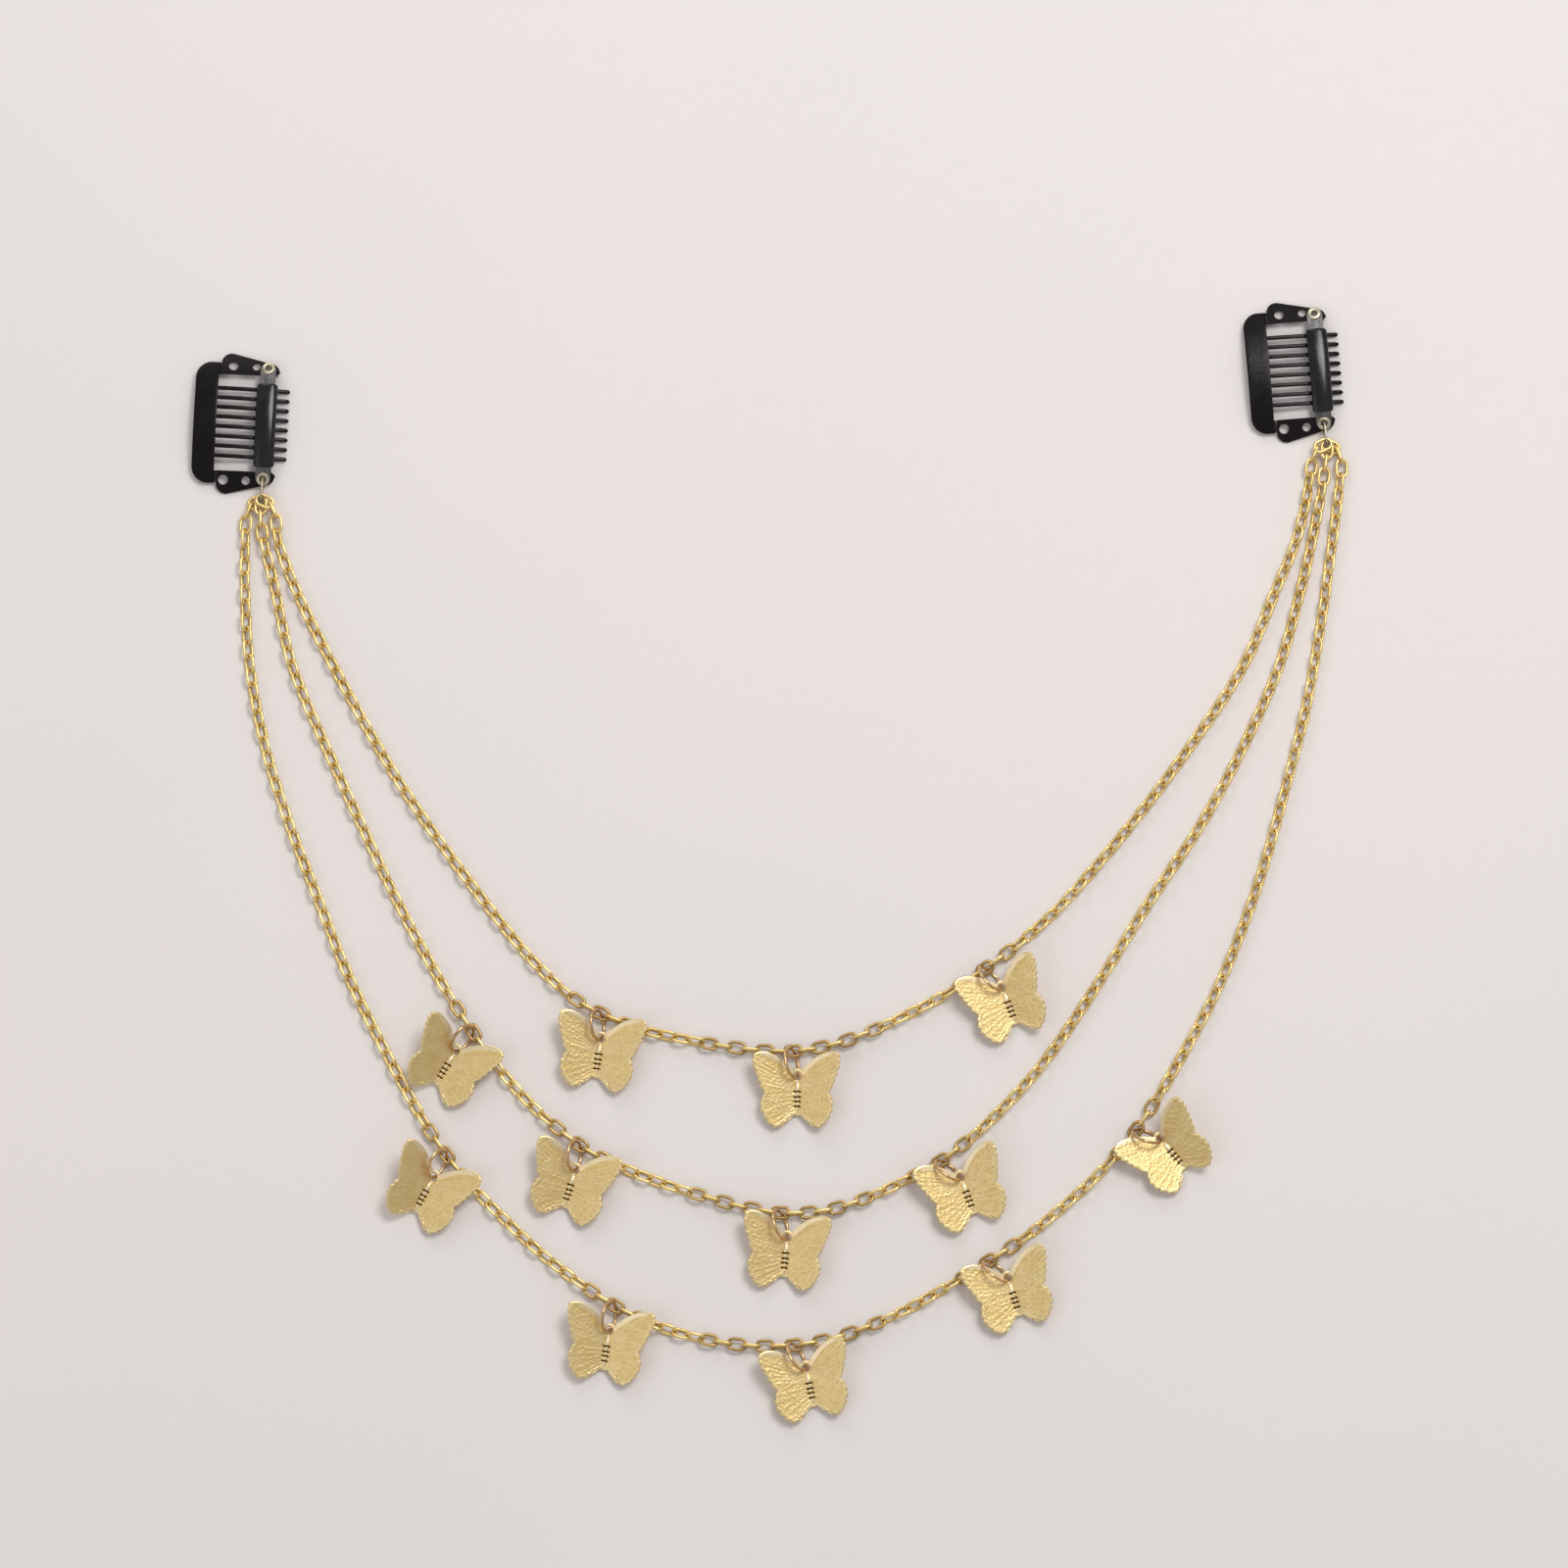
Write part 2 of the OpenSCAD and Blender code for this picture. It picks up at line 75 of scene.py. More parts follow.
# The bar in the slit beside each arm: its ends along V, its radius, and its draw into the plate
BEND_V = (11.0, 13.62)
BEND_RADIUS = 0.2
BEND_DRAW = 2.2
# Teeth: the root's depth in the plate, where the full section starts, and the drawn-in tip
TOOTH_COUNT = 8
TOOTH_PITCH = 2.2
TOOTH_WIDTH = 0.95
TOOTH_ROOT = 0.5
TOOTH_FULL = 0.9
TIP_U = 5.0
TIP_Z = 0.4
TIP_NARROW = 0.7
TIP_THIN = 0.5
BAR_WIDTH = 3.5
GAP = 0.1
SLEEVE_LENGTH = 18.6
SLEEVE_WIDTH = 4.7
SLEEVE_HEIGHT = 2.1
SLEEVE_SHIFT = -0.6
# How far from its ends the sleeve draws in, and by what share
SLEEVE_END = 0.5
SLEEVE_DRAW = 0.16

# Routes of the chains from the left end ring to the right one
LEFT_END = (-113.8, 81.2)
RIGHT_END = (125.5, 93.9)
INNER_ROUTE = [
    LEFT_END, (-112.1, 80.7), (-111, 79.1), (-110.3, 76.1), (-109.8, 72), (-107, 64), (-102, 53),
    (-92.5, 35), (-82, 17), (-69.5, -1), (-56, -18.5), (-48, -27), (-42.5, -31.5), (-36, -35),
    (-27.5, -38.2), (-18.5, -40.2), (-9.5, -41.8), (-1, -42.8), (7, -42.8), (14.5, -41.4),
    (22, -38.8), (30, -35.2), (39, -30.5), (47.5, -25), (56.5, -18.3), (66.5, -9), (81.5, 8.5),
    (95, 26.5), (106.5, 44), (114, 61.5), (118, 71), (120.5, 80), (121.5, 86), (122, 88.9),
    (122.7, 91.8), (123.8, 93.4), RIGHT_END,
]
MIDDLE_ROUTE = [
    LEFT_END, (-113.8, 79), (-113.6, 75), (-112.6, 70), (-110.5, 61.5), (-106.5, 44), (-99, 26),
    (-91, 8.5), (-82.5, -9.5), (-73, -27), (-62.5, -43), (-53, -54.5), (-41.5, -64), (-32, -69),
    (-23, -72.5), (-14, -75.3), (-5.5, -77.6), (3.5, -79), (12.5, -78.5), (21, -76), (30, -72),
    (39, -67), (48, -59.7), (57.5, -50), (65, -40.5), (74, -27), (85, -9.5), (97, 8.5),
    (106.5, 26), (114.5, 44), (119.5, 61.5), (122.2, 73), (124, 82), (125, 88), (125.5, 92),
    RIGHT_END,
]
OUTER_ROUTE = [
    LEFT_END, (-115.5, 80.7), (-116.5, 79.1), (-117.1, 76.1), (-117.2, 72), (-117.2, 61.5),
    (-116, 44), (-112.5, 26), (-107, 8.5), (-100, -9.5), (-93, -27), (-84.5, -44), (-75.5, -60),
    (-67, -71.5), (-58, -80.8), (-49.5, -88.6), (-40.5, -95.4), (-32, -100.6), (-23, -104.6),
    (-14, -107), (-5.5, -108.3), (3.5, -108.5), (12.5, -107.3), (21, -104.7), (30, -100.8),
    (39, -95.8), (47.5, -90.6), (56.5, -84.8), (65, -78), (74, -69.7), (82.5, -59.5),
    (91.5, -45), (101, -27), (109.5, -5), (116, 17.5), (120.5, 35), (123.8, 53), (126.3, 70),
    (127.7, 80), (128.4, 86), (128.8, 88.9), (128.2, 91.8), (127.2, 93.4), RIGHT_END,
]
CHAIN_NAMES = ("chain_inner", "chain_middle", "chain_outer")
ROUTES = (INNER_ROUTE, MIDDLE_ROUTE, OUTER_ROUTE)
# Links, a little heavier than the solids' links, which are 4.52 long, of wire 0.57 thick
LINK_LENGTH = 4.64
LINK_WIDTH = 3.1
LINK_WIRE = 0.74
LINK_PITCH = 3.15
LINK_TILT = 1.6
# For each chain: from its end to its first link, and how much nearer to the end the even row would start
FIRST_LINK = (0.95, 1.0, 0.95)
TUCK = (0.45, 0.1, 0.35)
# Links from a butterfly's own link to where the chain lies on its corners again, and at the lowest one
FLAT_REACH = 4
LOW_REACH = 8
ROLL_LINKS = 3
# A link lies face up from this cosine of its roll on, past the links at each end, and this mark paints it
# brown, a painted dark reflection
FACE_UP = 0.8
END_LINKS = 3
FACE_DARK_REFLECTION = -0.3
# Step between the chains' end links on an end ring, 0.675 in the solids
STACK_STEP = 0.75
# Lift of the inner chain at its ends, and how much less for each link from there
INNER_LIFT = 0.3
INNER_LESS = 0.1
END_RING_LENGTH = 5.83
END_RING_HEIGHT = 3.35
END_RING_WIRE = 0.5
END_RING_STEPS = 80

# Butterflies: chain, carrying link, swing of the ring and heading of the head clockwise from +Y,
# lift of the left and of the right wing
BUTTERFLIES = np.array([
    [0, 45, 195, 8, 16, 16],
    [0, 59, 186, 0, 14, 22],
    [0, 74, 155, -22, 14, 30],
    [1, 41, 238, 32, 32, 12],
    [1, 52, 205, 17, 18, 16],
    [1, 67, 181, 5, 16, 20],
    [1, 79, 145, -21, 16, 22],
    [2, 50, 226, 29, 32, 12],
    [2, 66, 209, 9, 18, 16],
    [2, 79, 168, -12, 14, 20],
    [2, 94, 147, -18, 14, 20],
    [2, 108, 126, -41, 12, 32],
])
RING_RADIUS = 3.35
RING_WIRE = 0.7
RING_LEAN = 60
RING_RISE = 34
RING_SIDES = 16
RING_STEPS = 92
# A jump ring's split, in radians: its first place and range, its width, and the domed ends beside it
SPLIT_PLACE = (2.2, 1.6)
SPLIT_WIDTH = 0.03
DOME = 0.012
DOME_END = 0.02
HEAD_TURN = 63
BODY_PITCH = 8.5
SHEET = 0.45
HEAD_HOLE = 1.7
HEAD_DISC = 3.2
HEAD_HEIGHT = 0.6
HALF_WING = [
    (0, 1.1), (0.9, 1.05), (2.2, 2.4), (4.4, 4.2), (6.6, 5.3), (8.6, 5.6), (10.1, 4.9), (10.3, 3.2),
    (9.8, 1.2), (9, -1), (8.3, -2.6), (7.6, -3.6), (8.3, -4.8), (8.6, -6.3), (8.3, -8), (7.3, -9.8),
    (6, -11.1), (4.7, -11.5), (3.3, -10.9), (2, -9.6), (1, -8.8), (0, -8.9),
]
# Body: place along Y and radius, the slots across it with their half width, and how far they cut in
BODY_LINE = [(-1.2, 0.1), (-1.5, 0.45), (-2.8, 0.75), (-4.6, 0.63), (-7.6, 0.45), (-8.6, 0.12)]
BODY_SLOTS = np.array([-3.5, -4.7, -5.7, -6.8])
BODY_SLOT = 0.21
BODY_CUT = 0.42
# How raised the body reads: the body is painted lighter, partly a painted highlight, and its slots dark as
# painted shadow
BODY_READS = 0.9
# A wing's rows round its edge, and its columns over the top, round the rim and back underneath
WING_ROWS = 140
WING_TOP = 27
WING_RIM = 4
WING_FOOT = 9
# Shares of the wing's edge: where lobes begin, are full, fade and end, and the veins' ends
FORE_LOBES = (0.30, 0.34, 0.52, 0.54)
HIND_LOBES = (0.575, 0.60, 0.93, 0.96)
WAIST = 0.55
VEINS = np.array([0.335, 0.37, 0.405, 0.44, 0.475, 0.51, 0.60, 0.65, 0.70, 0.75, 0.80, 0.85, 0.90])
# Lobes to a whole edge on the fore and the hind wing, and their depth
FORE_RATE = 24
HIND_RATE = 22
LOBE_DEPTH = 0.45
# A wing's root: its circle round the head's hole, its way down the body, and how far it is under that
ROOT_CIRCLE = 1.08
ROOT_DROP = 7.65
ROOT_UNDER = 0.12
ROOT_EASE = 0.6
# Where the fore edge's strip ends along the edge and towards the middle, and the rim's bead
LEAD_END = (0.25, 0.29)
STRIP_END = (0.85, 1.35)
BEAD_INSET = 0.36
BEAD_WIDTH = 0.30
VEIN_WIDTH = 0.16
WING_SLOT = 0.2
SLOT_END = (0.7, 0.95)
# Relief of a wing: for each form its height and how raised it reads. The read paints the colour lighter,
# partly polished metal and partly a painted highlight, and below 0 paints it dark as painted shadow
BEAD = (0.09, 0.5)
STRIP = (0.08, 0.7)
VEIN = (0.038, 0.45)
# A slot: sunk, and read below 0, which paints it near black as painted shadow
SLOT_SINK_AND_SHADOW = (-0.3, -0.9)
PLAIN_READS = 0.2
# The share of the relief that shows on the back, and the wing's crown, its span and its drop
BACK_RELIEF = 0.6
CROWN = 0.15
CROWN_SPAN = 10
WING_DROP = 0.05

# Depths of the bump in the materials, in metres
FAINT = 0.00002
SOFT = 0.00003
ETCHED = 0.00008

# Stage: lengths in metres. Each lamp has a name, place, width, share of the key's power, and colour.
AIM = (0.0036, 0.0173, 0.0)
VIEW_WIDTH = 0.3505
SENSOR = 36.0
TABLE_Z = -0.00002
TABLE_POINTS = 9
LAMPS = (
    ("key_lamp", (0.50, 0.60, 1.40), 0.6, 1.0, (1.0, 0.975, 0.955)),
    ("fill_lamp", (-1.0, -0.5, 1.1), 1.0, 0.20, (0.96, 0.97, 1.0)),
    ("back_lamp", (-0.25, 1.15, 0.65), 0.6, 0.28, (1.0, 0.985, 0.98)),
)
SKY = (1.0, 0.985, 0.985)
SKY_STRENGTH = 0.46


# Surfaces

def smooth_step(low, high, x):
    """0 below low, 1 above high, and 3t squared less 2t cubed between them."""
    t = np.clip((x - low) / (high - low), 0, 1)
    return t * t * (3 - 2 * t)


def plateau(x, start, full, fade, end):
    """A smooth step up from start to full, and one down again from fade to end."""
    return smooth_step(start, full, x) * (1 - smooth_step(fade, end, x))


def grid_quads(rows, columns, wrap_rows, wrap_columns):
    """Quads between neighbouring rows and columns of a grid; the last joins the first where it wraps."""
    k = np.arange(rows - 1 + wrap_rows)[:, None]
    j = np.arange(columns - 1 + wrap_columns)
    near = k * columns
    far = (k + 1) % rows * columns
    after = (j + 1) % columns
    return np.stack([near + j, far + j, far + after, near + after], -1).reshape(-1, 4)


def outward(points, quads, triangles):
    """Turns the faces of a closed surface outwards, by the sign of the volume that they enclose."""
    centred = points - points.mean(0)
    a, b, c, d = centred[quads.T]
    volume = np.sum(a * (np.cross(b, c) + np.cross(c, d)))
    a, b, c = centred[triangles.T]
    if volume + np.sum(a * np.cross(b, c)) < 0:
        return quads[:, ::-1], triangles[:, ::-1]
    return quads, triangles


def marks_of(shape, tone, relief):
    """A tone and a relief value for each point of a grid of that shape."""
    return np.stack([np.broadcast_to(tone, shape), np.broadcast_to(relief, shape)], -1).reshape(-1, 2)


def shell(grid, tone=0.0, relief=0.0, wrap_rows=False):
    """A closed surface from a grid whose columns wrap. Rows wrap too, or each end is closed by a fan
    round the middle of its last row."""
    rows, columns = grid.shape[:2]
    points = grid.reshape(-1, 3)
    marks = marks_of((rows, columns), tone, relief)
    quads = grid_quads(rows, columns, wrap_rows, True)
    triangles = NO_TRIANGLES
    if not wrap_rows:
        j = np.arange(columns)
        after = np.roll(j, -1)
        far = (rows - 1) * columns
        pole = len(points) + 0 * j
        near_fan = np.column_stack([after, j, pole])
        far_fan = np.column_stack([far + j, far + after, pole + 1])
        triangles = np.vstack([near_fan, far_fan])
        points = np.vstack([points, points[:columns].mean(0), points[far:].mean(0)])
        marks = np.vstack([marks, marks[:1], marks[-1:]])
    quads, triangles = outward(points, quads, triangles)
    return points, quads, triangles, marks


def zipped(grid, tone, relief):
    """A closed surface from a grid with an even number of columns, which wrap, and with flat end rows,
    which are zipped across: the first column to the last, and so on inwards."""
    rows, columns = grid.shape[:2]
    j = np.arange(columns // 2 - 1)
    near_end = np.stack([j, j + 1, columns - 2 - j, columns - 1 - j], -1)
    far_end = near_end[:, ::-1] + (rows - 1) * columns
    quads = np.vstack([grid_quads(rows, columns, False, True), near_end, far_end])
    points = grid.reshape(-1, 3)
    quads, triangles = outward(points, quads, NO_TRIANGLES)
    return points, quads, triangles, marks_of((rows, columns), tone, relief)


def joined(surfaces):
    """Several surfaces as one, with their faces' numbers moved on."""
    points, quads, triangles, marks = zip(*surfaces)
    starts = np.cumsum([0, *map(len, points[:-1])])
    quads = [q + start for q, start in zip(quads, starts)]
    triangles = [t + start for t, start in zip(triangles, starts)]
    return [np.vstack(part) for part in (points, quads, triangles, marks)]


def carried(centres, across, up, section):
    """A section carried along a path: centre + section x times across + section y times up."""
    wide = section[..., :1] * across[..., None, :]
    return centres[:, None] + wide + section[..., 1:] * up[..., None, :]


def circle_section(radius, count):
    """Points on a circle at even angles."""
    angle = 2 * np.pi * (np.arange(count) + 0.5) / count
    return radius * np.stack([np.cos(angle), np.sin(angle)], -1)


def outer_relief(sides):
    """How far out each side of a wire is: half of 1 plus the cosine, from 0 inside to 1 outside."""
    return 0.5 + 0.5 * circle_section(1, sides)[:, 0]


def squared_section(half_width, half_height, power, count):
    """Points on a superellipse: cosine and sine raised to 2 / power, with their signs kept."""
    circle = circle_section(1, count)
    return np.sign(circle) * np.abs(circle) ** (2 / power) * np.array([half_width, half_height])


def turned(points, degrees, axis):
    """Points turned about X, Y or Z by the right-hand rule. Degrees may be an array, one for each row."""
    a = np.radians(degrees)
    c, s = np.cos(a), np.sin(a)
    i, j = {"x": (1, 2), "y": (2, 0), "z": (0, 1)}[axis]
    out = np.array(points, float)
    out[..., i] = points[..., i] * c - points[..., j] * s
    out[..., j] = points[..., i] * s + points[..., j] * c
    return out


def smooth_route(points, steps):
    """Points on a smooth curve through a table, by the four-point cubic between neighbours."""
    p = np.array(points, float)
    i = np.arange(len(p) - 1)[:, None]
    t = (np.arange(steps) / steps)[None, :, None]
    a, b, c, d = p[np.maximum(i - 1, 0)], p[i], p[i + 1], p[np.minimum(i + 2, len(p) - 1)]
    square = (2 * a - 5 * b + 4 * c - d) * t**2
    cube = (3 * b - a - 3 * c + d) * t**3
    curve = (2 * b + (c - a) * t + square + cube) / 2
    return np.vstack([curve.reshape(-1, 2), p[-1:]])


def running_length(points):
    """Length from the first point to each point."""
    return np.concatenate([[0], np.cumsum(np.linalg.norm(np.diff(points, axis=0), axis=1))])


def points_at(places, lengths, curve):
    """Points of a plane curve at given lengths along it."""
    return np.stack([np.interp(places, lengths, curve[:, k]) for k in (0, 1)], -1)


def new_object(name, data):
    """A new object on the scene, at the origin."""
    made = bpy.data.objects.new(name, data)
    bpy.context.scene.collection.objects.link(made)
    return made


def add_piece(name, surface, material, nodes, body=ROOT_BODY):
    """Puts a surface into a mesh object, hangs it on its body's empty, and hides the solids that it stands
    for.
    """
    points, quads, triangles, marks = surface
    faces = quads.tolist() + triangles.tolist()
    mesh = bpy.data.meshes.new(name)
    mesh.from_pydata((points * MM).tolist(), [], faces, shade_flat=False)
    for mark, values in zip(("tone", "relief"), marks.T):
        attribute = mesh.attributes.new(mark, "FLOAT", "POINT")
        attribute.data.foreach_set("value", values.astype(np.float32))
    if mesh.validate():
        raise RuntimeError(f"the surface of {name} has faces that don't hold")
    mesh.materials.append(material)
    piece = new_object(name, mesh)
    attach(piece, body)
    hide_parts(*nodes)


# Chains

def chain_table(c):
    """Each link's place on the table, its turn and its roll, as in the part's source, apart from the
    longer stretch of flat links at the lowest butterfly."""
    curve = smooth_route(ROUTES[c], 8)
    lengths = running_length(curve)
    total = lengths[-1]
    count = 2 * int(np.floor((total - 2 * FIRST_LINK[c]) / LINK_PITCH / 2 + 0.5)) + 1
    first = FIRST_LINK[c] - TUCK[c]
    i = np.arange(count)
    along = first + i * (total - 2 * first) / (count - 1)
    along[0] = FIRST_LINK[c]
    along[-1] = total - FIRST_LINK[c]
    spots = points_at(along, lengths, curve)
    ahead = points_at(along + LINK_PITCH / 2, lengths, curve)
    way = ahead - points_at(along - LINK_PITCH / 2, lengths, curve)
    turn = np.degrees(np.arctan2(way[:, 1], way[:, 0]))
    carriers = BUTTERFLIES[BUTTERFLIES[:, 0] == c, 1]
    lowest = carriers[np.argmin(spots[carriers, 1])]

    def nearness(flat):
        away = np.abs(i[:, None] - flat[None])
        reach = np.where(flat == lowest, LOW_REACH, FLAT_REACH)
        return np.clip((reach - away) / ROLL_LINKS, 0, 1).max(1)

    even = np.concatenate([[0, count - 1], carriers[carriers % 2 == 0]])
    odd = carriers[carriers % 2 == 1]
    roll = 90 * i + 45 - 45 * nearness(even) + 45 * nearness(odd)
    return spots, turn, roll


def from_ends(count):
    """For each link of a chain, how many links it is from the nearer end."""
    i = np.arange(count)
    return np.minimum(i, i[::-1])


def link_heights(c, roll):
    """Height of each link: it stands on the table, and the end links lie one over the other."""
    half = (LINK_WIDTH - LINK_WIRE) / 2
    r = np.radians(roll)
    z = LINK_WIRE / 2 + half * np.maximum(np.abs(np.sin(r)), np.abs(np.cos(r)))
    past_end = from_ends(len(z))
    if c == 0:
        z = z + np.maximum(INNER_LIFT - INNER_LESS * past_end, 0)
    return np.where(past_end == 0, END_RING_HEIGHT / 2 + (1 - c) * STACK_STEP, z)


def face_up(roll):
    """How far each link lies face up, from 0 to 1, and 0 for the links at a chain's ends."""
    level = np.abs(np.cos(np.radians(roll)))
    return np.clip((level - FACE_UP) / (1 - FACE_UP), 0, 1) * (from_ends(len(roll)) > END_LINKS)


def oval_line(length, width, wire, count):
    """An oval's centre line, half a circle and a side in turn, and the way out of it at each point."""
    half = (width - wire) / 2
    reach = (length - width) / 2
    arc = np.pi * half
    s = np.arange(count) / count * (2 * arc + 4 * reach)
    left = s - arc - 2 * reach
    places = [(s > arc) & (left < 0), left > arc, left < 0]
    angle = np.select(places, [np.pi / 2, -np.pi / 2, s / half - np.pi / 2], np.pi / 2 + left / half)
    x = np.select(places, [reach - (s - arc), left - arc - reach, reach], -reach)
    out = np.cos(angle)[:, None] * X_WAY + np.sin(angle)[:, None] * Y_WAY
    return x[:, None] * X_WAY + half * out, out


def link_grid(length, width, wire, steps, sides):
    """An oval of round wire: a circle carried along the oval's centre line."""
    centres, out = oval_line(length, width, wire, steps)
    return carried(centres, out, Z_WAY, circle_section(wire / 2, sides))


def chain_surface(c, steps, sides):
    """All links of a chain: one link's grid, rolled, turned and moved for each place in the table. Links
    that lie face up get a mark that paints them browner all round, a painted dark reflection."""
    spots, turn, roll = chain_table(c)
    count = len(spots)
    draws = np.random.default_rng(40 + c)
    tone = draws.random(count)
    tilt = draws.normal(0, LINK_TILT, count)
    tilt[[0, -1]] = 0
    grid = link_grid(LINK_LENGTH, LINK_WIDTH, LINK_WIRE, steps, sides)
    grid = np.broadcast_to(grid, (count, *grid.shape))
    grid = turned(grid, (roll + tilt)[:, None, None], "x")
    grid = turned(grid, turn[:, None, None], "z")
    places = np.column_stack([spots, link_heights(c, roll)])
    points = (grid + places[:, None, None]).reshape(-1, 3)
    link_quads = grid_quads(steps, sides, True, True)
    link_quads, _ = outward(points[:steps * sides], link_quads, NO_TRIANGLES)
    quads = (link_quads[None] + np.arange(count)[:, None, None] * steps * sides).reshape(-1, 4)
    flat = face_up(roll)[:, None, None]
    # The mark paints the wire's inside brown, partly tarnish and partly painted shade; face-up links get the
    # painted dark reflection all round
    relief = outer_relief(sides) * (1 - flat) + FACE_DARK_REFLECTION * flat
    return points, quads, NO_TRIANGLES, marks_of(grid.shape[:3], tone[:, None, None], relief)


# Rings

def charms():
    """Each butterfly's number and row, and the centre of the link that carries it."""
    spots = [chain_table(c)[0] for c in range(3)]
    for number, row in enumerate(BUTTERFLIES, 1):
        yield number, row, np.array([*spots[row[0]][row[1]], LINK_WIDTH / 2])


def ring_ways():
    """Directions in a jump ring's plane, before its swing: away from the link, and across to the right."""
    rise, lean = np.radians(RING_RISE), np.radians(RING_LEAN)
    along = np.array([0, np.cos(rise), np.sin(rise)])
    across = np.array([np.cos(lean), -np.sin(lean) * np.sin(rise), np.sin(lean) * np.cos(rise)])
    return along, across


def jump_ring_surface(row, place, seed):
    """A ring of round wire with a fine split: a circle carried round a circle, and domed at both ends."""
    along, across = ring_ways()
    split = SPLIT_PLACE[0] + SPLIT_PLACE[1] * np.random.default_rng(70 + seed).random()
    ends = 1 - np.cos(np.linspace(0, np.pi / 2, 5))
    dome = DOME * ends
    whole = 2 * np.pi - SPLIT_WIDTH
    wire = np.linspace(DOME_END, whole - DOME_END, RING_STEPS)
    angle = (np.concatenate([dome, wire, (whole - dome)[::-1]]) + split)[:, None]
    size = np.sqrt(np.clip(1 - (1 - ends) ** 2, 0.02, 1))
    size = np.concatenate([size, np.ones(RING_STEPS), size[::-1]])
    out = np.cos(angle) * along + np.sin(angle) * across
    section = circle_section(RING_WIRE / 2, RING_SIDES)[None] * size[:, None, None]
    grid = carried(RING_RADIUS * (along + out), out, np.cross(along, across), section)
    tone = np.random.default_rng(90 + seed).random()
    return shell(turned(grid, -row[2], "z") + place, tone, outer_relief(RING_SIDES))


def end_ring_surface(side):
    """An upright oval of wire: its foot end in the lower eyelet, its far end in the chains."""
    (x, y), turn = CLIPS[side]
    a = np.radians(turn)
    foot = np.array([x + EYELET_V * np.sin(a), y - EYELET_V * np.cos(a)])
    end = np.array(LEFT_END if side == "left" else RIGHT_END)
    away = (end - foot) / np.linalg.norm(end - foot)
    centre = end - away * (END_RING_LENGTH - END_RING_WIRE) / 2
    grid = link_grid(END_RING_LENGTH, END_RING_HEIGHT, END_RING_WIRE, END_RING_STEPS, RING_SIDES)
    grid = turned(grid, 90, "x")
    grid = turned(grid, np.degrees(np.arctan2(away[1], away[0])), "z")
    grid = grid + np.array([*centre, END_RING_HEIGHT / 2])
    return shell(grid, relief=outer_relief(RING_SIDES), wrap_rows=True)


# Butterflies

def wing_edges():
    """The wing's outer edge and its root line, row by row from the head round to the tail. The edge has
    small lobes: it draws in by a fixed depth where a sine nears 0. The root goes round the head's hole."""
    curve = smooth_route(HALF_WING, 14)
    lengths = running_length(curve)
    u = np.linspace(0, 1, WING_ROWS)
    edge = points_at(u * lengths[-1], lengths, curve)
    way = np.gradient(edge, axis=0)
    inward = np.stack([way[:, 1], -way[:, 0]], -1) / np.linalg.norm(way, axis=1)[:, None]
    lobed = plateau(u, *FORE_LOBES) + plateau(u, *HIND_LOBES)
    waves = np.where(u < WAIST, (u - FORE_LOBES[0]) * FORE_RATE, (u - HIND_LOBES[0]) * HIND_RATE)
    lobe = (1 - np.abs(np.sin(np.pi * waves))) ** 1.6
    edge = edge + inward * (LOBE_DEPTH * lobe * lobed)[:, None]
    arc = np.pi * ROOT_CIRCLE
    r = u * (arc + ROOT_DROP)
    angle = np.pi / 2 - np.minimum(r, arc) / ROOT_CIRCLE
    straight = np.maximum(r - arc, 0)
    root = np.stack([
        ROOT_CIRCLE * np.cos(angle) - ROOT_UNDER * smooth_step(0, ROOT_EASE, straight),
        ROOT_CIRCLE * np.sin(angle) - straight,
    ], -1)
    return u, edge, root, lengths[-1]


def edge_distance(x, y, edge, u):
    """Each point's distance to the wing's outer edge, and the share of the edge nearest to it."""
    share = np.linspace(0, 1, 3 * WING_ROWS)
    dense = points_at(share, u, edge)
    away = np.hypot(x[..., None] - dense[:, 0], y[..., None] - dense[:, 1])
    nearest = away.argmin(-1)
    return np.take_along_axis(away, nearest[..., None], -1)[..., 0], share[nearest]


def wing_relief(u, v, spread, x, y, inset, near_u):
    """Height of the stamped relief and how raised it reads, over the wing's plane. It sums a bead along
    the rim, a flat strip along the fore edge, ridges for the veins, and a sunk bar at each body slot. How
    raised it reads paints the colour lighter, partly as a painted highlight, and at a slot paints it near
    black as painted shadow."""
    lead = 1 - smooth_step(*LEAD_END, near_u)
    bead = np.exp(-(((inset - BEAD_INSET) / BEAD_WIDTH) ** 2)) * (1 - lead)
    strip = lead * (1 - smooth_step(*STRIP_END, inset))
    off = (u[..., None] - VEINS) * spread[..., None]
    vein = np.exp(-((off / VEIN_WIDTH) ** 2)).max(-1)
    vein = vein * smooth_step(0.04, 0.16, v) * smooth_step(0.5, 1.1, inset)
    near = np.exp(-(((y[..., None] - BODY_SLOTS) / WING_SLOT) ** 4)).max(-1)
    slot = near * (1 - smooth_step(*SLOT_END, np.abs(x)))
    height, reads = (BEAD[k] * bead + STRIP[k] * strip + VEIN[k] * vein for k in (0, 1))
    reads = np.clip(PLAIN_READS + reads, 0, 1) * (1 - slot) + SLOT_SINK_AND_SHADOW[1] * slot
    return height + SLOT_SINK_AND_SHADOW[0] * slot, reads


